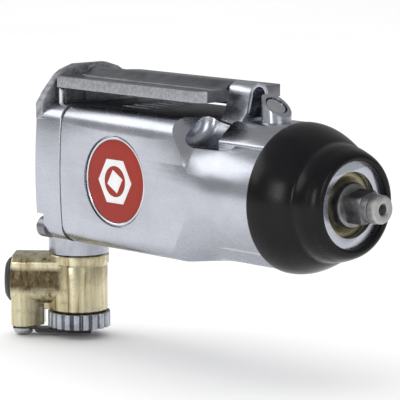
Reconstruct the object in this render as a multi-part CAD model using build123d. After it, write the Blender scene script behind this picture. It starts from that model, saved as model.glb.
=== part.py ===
from build123d import *

"""Air impact wrench with a butterfly trigger, a rocking-dog hammer and a swivelling, regulated air inlet.

Millimetres, +Z up. The origin is on the spindle axis, at the shoulder of the square drive.
+X is forward, out of the square drive. Left and right are as the user sees them, so left is +Y.
"""

from math import cos, radians, sin, sqrt
import os

# ---- fits and thin allowances --------------------------------------------------------------------
running_fit = 0.05          # radial clearance of a shaft in its bore
seat_clearance = 0.02       # radial clearance of pieces seated on each other in one body
touch_gap = 0.3             # between faces of different bodies that meet but do not bear
cut_over = 1.0              # how far a cutting solid reaches past the face that it opens
far = 200.0                 # beyond the whole tool, for cuts that are open on a side

# ---- square drive and anvil ----------------------------------------------------------------------
drive_square = 9.53
drive_length = 13.5
drive_turn = 15.0
drive_corner_radius = 6.35
drive_tip_radius = 4.9
drive_tip_chamfer = 0.6
drive_groove_from_tip = 6.2
drive_groove_width = 2.9
drive_groove_radius = 3.9
socket_ring_radius = 5.15
socket_ring_gap = 1.6
drive_hole_radius = 1.9
drive_hole_depth = 6.0
anvil_shank_radius = 7.9
anvil_collar_radius = 11.0
anvil_collar_width = 2.0
anvil_core_radius = 8.3
anvil_jaw_radius = 12.3
anvil_jaw_half_width = 4.5

# ---- housing -------------------------------------------------------------------------------------
body_half_width = 25.1
body_crown = 1.5
body_top = 26.0
body_bottom = -25.0
body_corner_radius = 6.5
barrel_radius = 24.6
nose_face_x = -1.4
nose_face_radius = 16.2
nose_cone_x = -9.5
nose_cone_radius = 18.9
barrel_front_x = -20.0
shoulder_front_x = -57.9
shoulder_length = 10.2
shoulder_back_radius = 34.0
shoulder_front_radius = 26.3
shoulder_fade_length = 12.0
seam_x = -125.2
motor_bore_radius = 21.5
motor_bore_front_x = -26.0

# ---- top of the housing --------------------------------------------------------------------------
pad_half_width = 9.0
pad_foot_half_width = 16.9
pad_top = 25.2
pad_foot_z = 18.6
pad_back_x = -50.0
rail_half_width = 10.5
rail_foot_half_width = 16.9
rail_bottom = -23.9
rail_foot_z = -18.4
scallop_radius = 9.5
scallop_y = 18.8
scallop_z = 26.6
scallop_back_x = -52.5
scallop_front_x = -49.0
exhaust_slots = 5
exhaust_slot_width = 2.4
exhaust_slot_length = 14.0
exhaust_slot_pitch = 5.0
exhaust_from_liner = 15.2

# ---- trigger and what carries it -----------------------------------------------------------------
pivot_z = 33.7
pivot_rod_radius = 1.6
trigger_tube_radius = 4.2
trigger_half_width = 20.3
trigger_plate_low = 31.6
trigger_plate_high = 35.6
trigger_back_gap = 1.4
trigger_front_x = -54.3
trigger_tube_front_x = -58.3
trigger_front_notch = 7.6
trigger_corner = 2.2
trigger_dish_depth = 1.0
trigger_rim_width = 3.0
trigger_side_gap = 0.5
arch_back_x = -57.6
arch_front_x = -46.8
arch_radius = 4.5
arch_leg_half_width = 5.2
arch_foot_half_width = 8.2
arch_wall = 1.5
arch_web = 3.0

# ---- rear cap ------------------------------------------------------------------------------------
cap_thickness = 14.8
gasket_thickness = 0.5
wall_thickness = 3.7
wall_top = 39.0
wall_top_half_width = 7.1
wall_shoulder_z = 35.5
wall_shoulder_half_width = 15.8
wall_hip_z = 29.3
wall_hip_half_width = 21.5
wall_foot_half_width = 24.2
rib_thickness = 1.0
rib_half_width = 13.0
rib_side_z = 34.4
rib_top = 38.4
lug_radius = 4.7
lug_length = 2.2
screw_radius = 2.0
screw_head_radius = 3.9
screw_head_height = 4.6
screw_reach = 12.0
screw_key_radius = 1.7
screw_key_depth = 2.4
low_screw_y = 20.5
low_screw_z = -20.7
high_screw_y = 11.0
high_screw_z = 21.8
notch_depth = 4.4
notch_radius = 5.4
cap_pocket_radius = 8.0
cap_pocket_depth = 2.0

# ---- throttle spools -----------------------------------------------------------------------------
spool_from_seam = 6.9
spool_y = 18.2
spool_pin_radius = 1.0
spool_land_radius = 2.6
spool_neck_radius = 1.4
spool_top_gap = 0.3
spool_high_land = (8.0, 13.0)
spool_low_land = (-2.0, 3.0)
spool_room_top = 15.2
spool_room_floor = -14.0
seal_groove_depth = 0.7
seal_height = 1.3
spring_wire = 0.35
spring_radius = 1.9
spring_turns = 6
air_port_radius = 1.2
air_port_z = 1.6
supply_z = 5.5
supply_radius = 2.0

# ---- motor ---------------------------------------------------------------------------------------
end_plate_thickness = 10.0
liner_length = 34.0
liner_radius = 21.45
liner_bore_radius = 17.2
liner_offset = 1.6
rotor_radius = 15.4
rotor_end_gap = 0.3
vane_count = 5
vane_thickness = 1.6
vane_slot_depth = 6.5
rotor_shaft_radius = 4.0
rotor_nose_square = 6.4
bearing_outer_radius = 9.5
bearing_race_thickness = 1.5
bearing_width = 6.0
bearing_ball_radius = 1.15
bearing_balls = 8
dowel_radius = 1.0
dowel_length = 6.0

# ---- hammer --------------------------------------------------------------------------------------
cage_radius = 19.6
cage_length = 33.0
cage_plate = 4.0
cage_room_radius = 13.6
dog_pin_radius = 2.2
dog_pin_z = 14.4
dog_lug_radius = 4.2
dog_inner_radius = 10.2
dog_outer_radius = 12.4
dog_half_angle = 58.0
dog_end_gap = 0.4
dog_side_gap = 0.6

# ---- nose ----------------------------------------------------------------------------------------
bushing_radius = 11.4
bushing_face_x = -4.0
bushing_length = 18.0
bushing_chamfer = 0.9
boot_lip_x = 0.9
boot_hole_radius = 15.0
boot_lip_radius = 17.6
boot_crease_x = -9.3
boot_crease_radius = 20.6
boot_band_x = -21.5
boot_rim_x = -25.5
boot_rim_radius = 26.3
boot_lip_bulge = 0.75
boot_band_bulge = 0.8

# ---- grease plug and badge -----------------------------------------------------------------------
plug_x = -37.9
plug_boss_radius = 5.2
plug_boss_top = 31.0
plug_slant = 37.0
plug_radius = 3.9
plug_washer_thickness = 0.6
plug_head_thickness = 1.4
plug_shank_radius = 2.4
plug_shank_length = 5.0
badge_from_seam = 29.9
badge_z = 0.8
badge_radius = 16.0
badge_recess_radius = 16.5
badge_recess_depth = 1.6
badge_plate_thickness = 0.9
badge_inlay_radius = 15.0
badge_inlay_thickness = 0.5

# ---- air inlet -----------------------------------------------------------------------------------
inlet_behind_cap = 4.7
inlet_boss_radius = 11.4
inlet_stem_radius = 6.0
inlet_air_radius = 3.0
pillar_top = 2.0
collar_top = -33.4
collar_height = 4.1
collar_radius = 11.5
valve_body_radius = 10.9
valve_body_bottom = -55.4
stem_length = 14.0
stem_groove_depth = 0.7
stem_groove_height = 1.5
stem_groove_drops = (2.6, 5.6)
stem_cross_hole_radius = 1.8
circlip_thickness = 0.8
circlip_radius = 7.4
knob_radius = 11.8
knob_height = 5.8
knob_flutes = 20
knob_flute_radius = 0.9
knob_gap = 0.3
regulator_spool_radius = 5.0
regulator_spool_height = 8.0

# ---- inlet arm -----------------------------------------------------------------------------------
arm_turn = 44.0
arm_top_half_width = 5.5
arm_top = 10.2
arm_side_half_width = 9.0
arm_side_top = 7.8
arm_side_bottom = -2.9
arm_round_radius = 9.2
arm_collar_radius = 9.0
arm_collar_length = 1.4
arm_length = 25.4
arm_axis_z = -43.9
port_radius = 5.56
port_depth = 12.0
port_ring_radius = 8.4
port_ring_thickness = 2.3
port_ring_edge = 0.5
port_ring_bore = 5.8
screen_radius = 5.0
screen_thickness = 0.8
screen_holes = 7
screen_hole_radius = 0.9
post_reach = 21.3
post_flat_half_length = 1.7
post_half_length = 4.0
post_half_width = 7.8
post_end_half_width = 5.4
post_bottom = -61.0
web_start = 13.1
web_half_width = 2.6
post_screw_depth = 8.0
plate_half_width = 3.6
plate_thickness = 1.5
plate_past_axis = 4.8
plate_knob_gap = 1.0
plate_screw_radius = 1.5
plate_screw_head_radius = 3.8
plate_screw_head_height = 2.2

# ---- worked out from the sizes above -------------------------------------------------------------
rear_x = seam_x - gasket_thickness - cap_thickness
cap_front_x = seam_x - gasket_thickness
wall_front_x = rear_x + wall_thickness
lug_front_x = wall_front_x + lug_length
inlet_x = rear_x - inlet_behind_cap
trigger_back_x = wall_front_x + trigger_back_gap
spool_x = cap_front_x - spool_from_seam
badge_x = seam_x + badge_from_seam
rear_plate_x = (seam_x, seam_x + end_plate_thickness)
liner_x = (rear_plate_x[1], rear_plate_x[1] + liner_length)
exhaust_x = liner_x[0] + exhaust_from_liner
front_plate_x = (liner_x[1], liner_x[1] + end_plate_thickness)
cage_x = (front_plate_x[1] + touch_gap * 2, front_plate_x[1] + touch_gap * 2 + cage_length)
bushing_x = (bushing_face_x - bushing_length, bushing_face_x)
spool_top = trigger_plate_low - spool_top_gap
collar_bottom = collar_top - collar_height
knob_top = valve_body_bottom - knob_gap
knob_bottom = knob_top - knob_height
arm_direction = Vector(-cos(radians(arm_turn)), -sin(radians(arm_turn)), 0)
screw_places = [
    (low_screw_y, low_screw_z),
    (-low_screw_y, low_screw_z),
    (high_screw_y, high_screw_z),
    (-high_screw_y, high_screw_z),
]


# ---- small makers --------------------------------------------------------------------------------
def rod_x(start, end, radius, y=0.0, z=0.0):
    """A round bar along X."""
    return Pos((start + end) / 2, y, z) * Rot(0, 90, 0) * Cylinder(radius, end - start)


def ring_x(start, end, outer, inner, y=0.0, z=0.0):
    """A round tube along X."""
    return rod_x(start, end, outer, y, z) - rod_x(start - cut_over, end + cut_over, inner, y, z)


def rod_y(start, end, radius, x, z):
    """A round bar along Y."""
    return Pos(x, (start + end) / 2, z) * Rot(90, 0, 0) * Cylinder(radius, end - start)


def rod_z(start, end, radius, x=0.0, y=0.0):
    """A round bar along Z."""
    return Pos(x, y, (start + end) / 2) * Cylinder(radius, end - start)


def ring_z(start, end, outer, inner, x=0.0, y=0.0):
    """A round tube along Z."""
    return rod_z(start, end, outer, x, y) - rod_z(start - cut_over, end + cut_over, inner, x, y)


def block(x, y, z):
    """A box from its low and high place along each axis."""
    centre = Pos(sum(x) / 2, sum(y) / 2, sum(z) / 2)
    return centre * Box(x[1] - x[0], y[1] - y[0], z[1] - z[0])


def prism_x(points, start, end):
    """A solid of constant section along X, from points given as (y, z)."""
    outline = Polyline(*[(start, y, z) for y, z in points], close=True)
    return extrude(make_face(outline), amount=end - start, dir=(1, 0, 0))


def turned_x(points):
    """A solid of revolution about X, from points given as (x, radius)."""
    outline = Polyline(*[(x, radius, 0) for x, radius in points], close=True)
    return revolve(make_face(outline), Axis.X)


def mirrored(points):
    """Both halves of an outline of which only the +Y half is given, from bottom to top."""
    return points + [(-y, z) for y, z in reversed(points)]


def body_section(x, inset=0.0):
    """The rear section of the housing: a rounded square whose sides are slightly crowned."""
    side = body_half_width - body_crown - inset
    top = body_top - inset
    bottom = body_bottom + inset
    middle = (top + bottom) / 2
    left = ThreePointArc((x, side, bottom), (x, side + body_crown, middle), (x, side, top))
    right = ThreePointArc((x, -side, top), (x, -side - body_crown, middle), (x, -side, bottom))
    over = Line((x, side, top), (x, -side, top))
    under = Line((x, -side, bottom), (x, side, bottom))
    face = make_face([under, left, over, right])
    return fillet(face.vertices(), body_corner_radius - inset)


def body_prism(start, end):
    """A length of the rear section."""
    return extrude(body_section(start), amount=end - start, dir=(1, 0, 0))


def as_one(shape):
    """One solid out of an expression's result."""
    return shape.solid() if hasattr(shape, "solid") and len(shape.solids()) == 1 else shape


# ---- housing body --------------------------------------------------------------------------------
def solid_body():
    """The rounded square rear, turned down at its front to a round barrel and a coned nose."""
    envelope = turned_x([
        (seam_x - cut_over, 0),
        (seam_x - cut_over, shoulder_back_radius),
        (shoulder_front_x - shoulder_length, shoulder_back_radius),
        (shoulder_front_x, shoulder_front_radius),
        (shoulder_front_x + shoulder_fade_length, barrel_radius),
        (barrel_front_x, barrel_radius),
        (nose_cone_x, nose_cone_radius),
        (nose_face_x, nose_face_radius),
        (nose_face_x, 0),
    ])
    return as_one(body_prism(seam_x, nose_face_x + cut_over) & envelope)


def arch_outline(wall):
    """The trigger's front lug, seen from the front: a round top on flared legs."""
    leg = arch_leg_half_width - wall
    foot = arch_foot_half_width - wall
    crown = arch_radius - wall
    return mirrored([
        (foot, pad_foot_z),
        (foot, pad_top),
        (leg, pad_top + (pivot_z - pad_top) * 0.6),
        (crown, pivot_z),
        (crown * cos(radians(45)), pivot_z + crown * sin(radians(45))),
        (crown * cos(radians(75)), pivot_z + crown * sin(radians(75))),
    ])


def front_arch():
    """The lug that carries the front of the pivot rod, hollowed from the front."""
    outside = prism_x(arch_outline(0.0), arch_back_x, arch_front_x)
    hollow = prism_x(arch_outline(arch_wall), arch_back_x + arch_web, arch_front_x + cut_over)
    hollow = hollow - block((arch_back_x, arch_front_x + 2 * cut_over), (-far, far), (0, body_top))
    return outside - hollow - rod_x(arch_back_x - cut_over, arch_back_x + arch_web + cut_over,
                                    pivot_rod_radius, 0, pivot_z)


def scallop(side):
    """The hollow beside the arch, with round ends."""
    start = scallop_back_x - scallop_radius
    end = scallop_front_x + scallop_radius
    trough = rod_x(start, end, scallop_radius)
    trough = fillet(trough.edges().filter_by(GeomType.CIRCLE), scallop_radius * 0.9)
    return Pos(0, side * scallop_y, scallop_z) * trough


def plug_frame():
    """A frame on the slanted top of the grease boss, its Z out of the boss."""
    return Pos(plug_x, 0, plug_boss_top) * Rot(0, plug_slant, 0)


def plug_boss():
    """The upright boss of the grease plug, cut off at a slant, with the plug's seat sunk in it."""
    boss = rod_z(pad_foot_z, plug_boss_top + plug_boss_radius, plug_boss_radius, plug_x)
    above = plug_frame() * Pos(0, 0, 2 * plug_boss_radius) * Box(
        6 * plug_boss_radius, 6 * plug_boss_radius, 4 * plug_boss_radius)
    seat_depth = plug_washer_thickness + plug_head_thickness
    seat = plug_frame() * Pos(0, 0, -seat_depth / 2 + cut_over / 2) * Cylinder(
        plug_radius + touch_gap, seat_depth + cut_over)
    hole = plug_frame() * Pos(0, 0, -seat_depth - plug_shank_length / 2) * Cylinder(
        plug_shank_radius, plug_shank_length + cut_over)
    return boss - above - seat - hole


def exhaust_openings():
    """A row of slots in the top, under the trigger, into the liner's exhaust."""
    cuts = []
    for index in range(exhaust_slots):
        y = (index - (exhaust_slots - 1) / 2) * exhaust_slot_pitch
        half = exhaust_slot_width / 2
        long = (exhaust_x - exhaust_slot_length / 2, exhaust_x + exhaust_slot_length / 2)
        cuts.append(block(long, (y - half, y + half), (motor_bore_radius * 0.8, body_top + cut_over)))
    return cuts


def motor_housing():
    """The main casting, from the seam with the rear cap to the nose."""
    solid = solid_body()
    pad = prism_x(mirrored([
        (pad_foot_half_width, 0),
        (pad_foot_half_width, pad_foot_z),
        (pad_half_width, pad_top),
    ]), pad_back_x, boot_rim_x - touch_gap)
    rail = prism_x(mirrored([
        (rail_half_width, rail_bottom),
        (rail_foot_half_width, rail_foot_z),
        (rail_foot_half_width, 0),
    ]), shoulder_front_x - shoulder_length, boot_rim_x - touch_gap)
    for side in (1, -1):
        solid = solid - scallop(side)
    solid = solid + pad + rail + front_arch() + plug_boss()
    solid = solid - rod_x(seam_x - cut_over, motor_bore_front_x, motor_bore_radius)
    solid = solid - rod_x(motor_bore_front_x - cut_over, nose_face_x + cut_over, bushing_radius)
    seat_depth = plug_washer_thickness + plug_head_thickness
    solid = solid - plug_frame() * Pos(0, 0, -seat_depth - plug_shank_length / 2) * Cylinder(
        plug_shank_radius, plug_shank_length + cut_over)
    for y, z in screw_places:
        solid = solid - rod_x(seam_x - cut_over, seam_x + screw_reach + cut_over, screw_radius, y, z)
    for cut in exhaust_openings():
        solid = solid - cut
    recess = rod_y(-body_half_width - cut_over, -body_half_width + badge_recess_depth,
                   badge_recess_radius, badge_x, badge_z)
    return solid - recess


def rear_cap():
    """The end casting: air inlet pillar below, throttle spools inside, trigger lug and wall on top."""
    solid = body_prism(rear_x, cap_front_x)
    wall = prism_x(mirrored([
        (wall_foot_half_width, body_top - body_corner_radius),
        (wall_foot_half_width, body_top - 1.0),
        (wall_hip_half_width, wall_hip_z),
        (wall_shoulder_half_width, wall_shoulder_z),
        (wall_top_half_width, wall_top),
    ]), rear_x, wall_front_x)
    rib = prism_x(mirrored([
        (rib_half_width, body_top - 1.0),
        (rib_half_width, rib_side_z),
        (rib_half_width * 0.6, (rib_side_z + 2 * rib_top) / 3),
        (rib_half_width * 0.25, rib_top),
    ]), wall_front_x, wall_front_x + rib_thickness)
    lug = rod_x(wall_front_x, lug_front_x, lug_radius, 0, pivot_z)
    lug = lug + block((wall_front_x, lug_front_x), (-lug_radius, lug_radius), (body_top - 1, pivot_z))
    pillar = rod_z(body_bottom, pillar_top, inlet_boss_radius, inlet_x)
    pillar = pillar + Pos(inlet_x, 0, pillar_top) * Sphere(inlet_boss_radius)
    pillar = pillar - block((rear_x + cut_over, 0), (-far, far), (-far, far))
    solid = solid + wall + rib + lug + pillar
    solid = solid - rod_x(wall_front_x - 1.0, lug_front_x + cut_over, pivot_rod_radius, 0, pivot_z)
    solid = solid - rod_z(body_bottom - cut_over, body_bottom + stem_length, inlet_stem_radius, inlet_x)
    solid = solid - rod_z(body_bottom, supply_z, inlet_air_radius, inlet_x)
    solid = solid - rod_x(inlet_x, spool_x, supply_radius, 0, supply_z)
    solid = solid - rod_y(-spool_y, spool_y, supply_radius, spool_x, supply_z)
    for side in (1, -1):
        y = side * spool_y
        solid = solid - rod_z(spool_room_floor, spool_room_top, spool_land_radius + running_fit, spool_x, y)
        solid = solid - rod_z(spool_room_top - cut_over, body_top + cut_over,
                              spool_pin_radius + running_fit, spool_x, y)
        solid = solid - rod_x(spool_x, cap_front_x + cut_over, air_port_radius, y, air_port_z)
        notch_y = side * low_screw_y
        solid = solid - rod_x(rear_x - cut_over, rear_x + notch_depth, notch_radius, notch_y, low_screw_z)
        outer = sorted((notch_y, side * (body_half_width + notch_radius)))
        below = (low_screw_z - 2 * notch_radius, low_screw_z + notch_radius)
        solid = solid - block((rear_x - cut_over, rear_x + notch_depth), outer, below)
        inner = sorted((side * (low_screw_y - notch_radius), side * (body_half_width + notch_radius)))
        solid = solid - block((rear_x - cut_over, rear_x + notch_depth), inner,
                              (low_screw_z - 2 * notch_radius, low_screw_z))
        high_y = side * high_screw_y
        solid = solid - rod_x(rear_x - cut_over, rear_x + screw_head_height, screw_head_radius + touch_gap,
                              high_y, high_screw_z)
    for y, z in screw_places:
        solid = solid - rod_x(rear_x - cut_over, cap_front_x + cut_over, screw_radius + running_fit * 3, y, z)
    return solid - rod_x(cap_front_x - cap_pocket_depth, cap_front_x + cut_over, cap_pocket_radius)


def cap_gasket():
    """The paper gasket in the seam."""
    sheet = body_prism(cap_front_x, seam_x)
    sheet = sheet - rod_x(cap_front_x - cut_over, seam_x + cut_over, cap_pocket_radius)
    for y, z in screw_places:
        sheet = sheet - rod_x(cap_front_x - cut_over, seam_x + cut_over, screw_radius + running_fit * 3, y, z)
    for side in (1, -1):
        sheet = sheet - rod_x(cap_front_x - cut_over, seam_x + cut_over, air_port_radius,
                              side * spool_y, air_port_z)
    return sheet


def cap_screws():
    """Four socket-head screws that hold the cap."""
    screws = []
    for y, z in screw_places:
        head_back = rear_x if z > 0 else rear_x + notch_depth - screw_head_height
        head_front = head_back + screw_head_height
        screw = rod_x(head_front - touch_gap, seam_x + screw_reach, screw_radius, y, z)
        screw = screw + rod_x(head_back, head_front, screw_head_radius, y, z)
        key = extrude(Plane.YZ.offset(head_back) * Pos(y, z) * RegularPolygon(screw_key_radius, 6),
                      amount=screw_key_depth)
        screws.append(screw - key)
    return Compound(children=[as_one(screw) for screw in screws])


def nose_bushing():
    """The brass bearing bush of the anvil."""
    bush = ring_x(*bushing_x, bushing_radius, anvil_shank_radius + running_fit)
    cone = turned_x([
        (bushing_face_x - bushing_chamfer, 0),
        (bushing_face_x - bushing_chamfer, anvil_shank_radius + running_fit),
        (bushing_face_x + bushing_chamfer, anvil_shank_radius + 2 * bushing_chamfer),
        (bushing_face_x + bushing_chamfer, 0),
    ])
    return bush - cone


def rubber_boot():
    """The moulded rubber boot over the nose: a large rear band, a crease and a rolled front lip."""
    inner = [
        (boot_rim_x, barrel_radius),
        (barrel_front_x, barrel_radius),
        (nose_cone_x, nose_cone_radius),
        (nose_face_x, nose_face_radius),
        (nose_face_x, boot_hole_radius),
        (boot_lip_x, boot_hole_radius),
        (boot_lip_x, boot_lip_radius),
    ]
    inside = Polyline(*[(x, radius, 0) for x, radius in inner])
    lip = ThreePointArc(
        (boot_lip_x, boot_lip_radius, 0),
        ((boot_lip_x + boot_crease_x) / 2, (boot_lip_radius + boot_crease_radius) / 2 + boot_lip_bulge, 0),
        (boot_crease_x, boot_crease_radius, 0))
    band = ThreePointArc(
        (boot_crease_x, boot_crease_radius, 0),
        ((boot_crease_x + boot_band_x) / 2, (boot_crease_radius + boot_rim_radius) / 2 + boot_band_bulge, 0),
        (boot_band_x, boot_rim_radius, 0))
    back = Polyline((boot_band_x, boot_rim_radius, 0), (boot_rim_x, boot_rim_radius, 0),
                    (boot_rim_x, barrel_radius, 0))
    return revolve(make_face([*inside.edges(), lip, band, *back.edges()]), Axis.X)


def grease_plug():
    """The plug in the slanted boss, on its washer."""
    head_top = -touch_gap
    head_low = -plug_head_thickness - touch_gap
    shank_low = -plug_washer_thickness - plug_head_thickness - plug_shank_length
    head = Pos(0, 0, (head_top + head_low) / 2) * Cylinder(plug_radius, head_top - head_low)
    shank = Pos(0, 0, (head_low + shank_low) / 2) * Cylinder(plug_shank_radius, head_low - shank_low)
    return plug_frame() * (head + shank)


def grease_plug_washer():
    """The seal under the plug's head."""
    top = -plug_head_thickness - touch_gap
    bottom = -plug_head_thickness - plug_washer_thickness
    washer = Pos(0, 0, (top + bottom) / 2) * Cylinder(plug_radius, top - bottom)
    hole = Pos(0, 0, (top + bottom) / 2) * Cylinder(plug_shank_radius, top - bottom + cut_over)
    return plug_frame() * (washer - hole)


def badge_plate():
    """The round badge in its recess: a metal dish with a rim."""
    floor = -body_half_width + badge_recess_depth
    disc = rod_y(floor - badge_plate_thickness, floor, badge_radius, badge_x, badge_z)
    dish = rod_y(floor - badge_plate_thickness - cut_over, floor - badge_plate_thickness + badge_inlay_thickness,
                 badge_inlay_radius, badge_x, badge_z)
    return disc - dish


def badge_inlay():
    """The enamel that fills the badge's dish."""
    back = -body_half_width + badge_recess_depth - badge_plate_thickness + badge_inlay_thickness
    return rod_y(back - badge_inlay_thickness, back, badge_inlay_radius, badge_x, badge_z)


# ---- motor ---------------------------------------------------------------------------------------
def end_plate(span, face_x):
    """A round plate that carries a ball bearing, open to its face."""
    plate = rod_x(*span, liner_radius)
    plate = plate - rod_x(span[0] - cut_over, span[1] + cut_over, rotor_shaft_radius + 1.0)
    if face_x < sum(span) / 2:
        seat = (face_x - cut_over, face_x + bearing_width)
    else:
        seat = (face_x - bearing_width, face_x + cut_over)
    return plate - rod_x(*seat, bearing_outer_radius)


def rear_end_plate():
    """The rear end of the air motor, with the two air ports and the dowel's hole."""
    plate = end_plate(rear_plate_x, rear_plate_x[0])
    for side in (1, -1):
        plate = plate - rod_x(rear_plate_x[0] - cut_over, rear_plate_x[1] - 3.0, air_port_radius,
                              side * spool_y, air_port_z)
        plate = plate - block((rear_plate_x[1] - 4.0, rear_plate_x[1] + cut_over),
                              sorted((side * (liner_bore_radius - 3.5), side * (spool_y + air_port_radius))),
                              (air_port_z - air_port_radius, air_port_z + air_port_radius))
    return plate - rod_x(rear_plate_x[1] - dowel_length / 2, rear_plate_x[1] + cut_over, dowel_radius,
                         0, -dowel_z())


def front_end_plate():
    """The front end of the air motor."""
    plate = end_plate(front_plate_x, front_plate_x[1])
    return plate


def dowel_z():
    """How far from the axis the dowel lies: in the middle of the liner's thicker wall."""
    return (liner_radius + liner_bore_radius + liner_offset) / 2 - 0.2


def cylinder_liner():
    """The motor's cylinder: its bore is off centre, so that the vanes' rooms grow and shrink."""
    tube = rod_x(*liner_x, liner_radius)
    tube = tube - rod_x(liner_x[0] - cut_over, liner_x[1] + cut_over, liner_bore_radius, 0, liner_offset)
    for index in range(exhaust_slots):
        y = (index - (exhaust_slots - 1) / 2) * exhaust_slot_pitch
        tube = tube - rod_z(0, liner_radius + cut_over, exhaust_slot_width / 2, exhaust_x, y)
    return tube - rod_x(liner_x[0] - cut_over, liner_x[0] + dowel_length / 2, dowel_radius, 0, -dowel_z())


def liner_dowel():
    """The pin that stops the liner turning in the rear end plate."""
    return rod_x(liner_x[0] - dowel_length / 2, liner_x[0] + dowel_length / 2, dowel_radius, 0, -dowel_z())


def bearing_races(start):
    """Outer race, inner race and balls of one ball bearing."""
    end = start + bearing_width
    middle = (start + end) / 2
    track = (bearing_outer_radius + rotor_shaft_radius) / 2
    groove = Pos(middle, 0, 0) * Rot(0, 90, 0) * Torus(track, bearing_ball_radius + running_fit)
    outer = ring_x(start, end, bearing_outer_radius, bearing_outer_radius - bearing_race_thickness) - groove
    inner = ring_x(start, end, rotor_shaft_radius + bearing_race_thickness,
                   rotor_shaft_radius + seat_clearance) - groove
    balls = []
    for index in range(bearing_balls):
        angle = radians(360 / bearing_balls * index)
        balls.append(Pos(middle, track * cos(angle), track * sin(angle)) * Sphere(bearing_ball_radius))
    return as_one(outer), as_one(inner), Compound(children=[as_one(ball) for ball in balls])


def vane_slot(index, depth_from, width, span, reach):
    """A radial slab in the rotor, for a vane or its slot."""
    slab = block(span, (-width / 2, width / 2), (depth_from, reach))
    return Rot(360 / vane_count * index, 0, 0) * slab


def rotor():
    """The slotted rotor with its shaft, whose square nose drives the hammer cage."""
    span = (liner_x[0] + rotor_end_gap, liner_x[1] - rotor_end_gap)
    solid = rod_x(*span, rotor_radius)
    solid = solid + rod_x(rear_plate_x[0] + touch_gap, front_plate_x[1] + touch_gap, rotor_shaft_radius)
    nose = block((front_plate_x[1], cage_x[0] + cage_plate),
                 (-rotor_nose_square / 2, rotor_nose_square / 2),
                 (-rotor_nose_square / 2, rotor_nose_square / 2))
    solid = solid + nose
    for index in range(vane_count):
        solid = solid - vane_slot(index, rotor_radius - vane_slot_depth, vane_thickness + 4 * running_fit,
                                  (span[0] - cut_over, span[1] + cut_over), rotor_radius + cut_over)
    return solid


def rotor_vanes():
    """The sliding vanes, drawn in to the rotor's surface."""
    span = (liner_x[0] + 2 * rotor_end_gap, liner_x[1] - 2 * rotor_end_gap)
    low = rotor_radius - vane_slot_depth + running_fit
    vanes = [vane_slot(index, low, vane_thickness, span, rotor_radius) for index in range(vane_count)]
    return Compound(children=[as_one(vane) for vane in vanes])


# ---- hammer --------------------------------------------------------------------------------------
def dog_window():
    """The side window of the cage in which the dog's lug rocks."""
    half = dog_lug_radius + dog_side_gap
    return block((cage_x[0] + cage_plate, cage_x[1] - cage_plate), (-half, half), (cage_room_radius * 0.6, far))


def hammer_cage():
    """The heavy frame that the rotor turns, with the dog's pin in its end plates."""
    solid = rod_x(*cage_x, cage_radius)
    solid = solid - rod_x(cage_x[0] + cage_plate, cage_x[1] - cage_plate, cage_room_radius)
    solid = solid - dog_window()
    solid = solid - rod_x(cage_x[1] - cage_plate - cut_over, cage_x[1] + cut_over,
                          anvil_shank_radius + running_fit)
    half = rotor_nose_square / 2
    solid = solid - block((cage_x[0] - cut_over, cage_x[0] + cage_plate + cut_over), (-half, half), (-half, half))
    return solid - rod_x(cage_x[0] - cut_over, cage_x[1] + cut_over, dog_pin_radius, 0, dog_pin_z)


def dog_pin():
    """The pin that the dog rocks on."""
    return rod_x(*cage_x, dog_pin_radius, 0, dog_pin_z)


def sector(outer, inner, half_angle, span):
    """A curved bar about the X axis, centred on +Z."""
    ring = ring_x(*span, outer, inner)
    reach = 3 * outer
    edge = radians(half_angle)
    wedge = prism_x([(0, 0), (reach * sin(edge), reach * cos(edge)), (0, 2 * reach),
                     (-reach * sin(edge), reach * cos(edge))], *span)
    return ring & wedge


def hammer_dog():
    """The rocking dog: a saddle on a lug, which strikes the anvil's jaw from either side."""
    span = (cage_x[0] + cage_plate + dog_end_gap, cage_x[1] - cage_plate - dog_end_gap)
    saddle = sector(dog_outer_radius, dog_inner_radius, dog_half_angle, span)
    lug = rod_x(*span, dog_lug_radius, 0, dog_pin_z) - rod_x(
        span[0] - cut_over, span[1] + cut_over, dog_inner_radius)
    solid = saddle + lug
    return solid - rod_x(span[0] - cut_over, span[1] + cut_over, dog_pin_radius + running_fit, 0, dog_pin_z)


def anvil():
    """The anvil: a jawed core inside the cage, the round shank and the square drive."""
    span = (cage_x[0] + cage_plate + 2 * dog_end_gap, cage_x[1] - cage_plate - 2 * dog_end_gap)
    solid = rod_x(*span, anvil_core_radius)
    jaw = block(span, (-anvil_jaw_half_width, anvil_jaw_half_width), (-anvil_jaw_radius, 0))
    solid = solid + (jaw & rod_x(*span, anvil_jaw_radius))
    solid = solid + rod_x(span[1], 0, anvil_shank_radius)
    collar_front = bushing_x[0] - touch_gap
    solid = solid + rod_x(collar_front - anvil_collar_width, collar_front, anvil_collar_radius)
    half = drive_square / 2
    root = -anvil_collar_width
    square = Rot(drive_turn, 0, 0) * block((root, drive_length), (-half, half), (-half, half))
    tip_start = drive_length - drive_groove_from_tip + drive_groove_width
    envelope = turned_x([
        (root, 0),
        (root, drive_corner_radius),
        (tip_start, drive_corner_radius),
        (tip_start, drive_tip_radius),
        (drive_length - drive_tip_chamfer, drive_tip_radius),
        (drive_length, drive_tip_radius - drive_tip_chamfer),
        (drive_length, 0),
    ])
    solid = solid + (square & envelope)
    groove_start = drive_length - drive_groove_from_tip
    solid = solid - ring_x(groove_start, groove_start + drive_groove_width, drive_corner_radius + cut_over,
                           drive_groove_radius)
    return solid - rod_x(drive_length - drive_hole_depth, drive_length + cut_over, drive_hole_radius)


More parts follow.
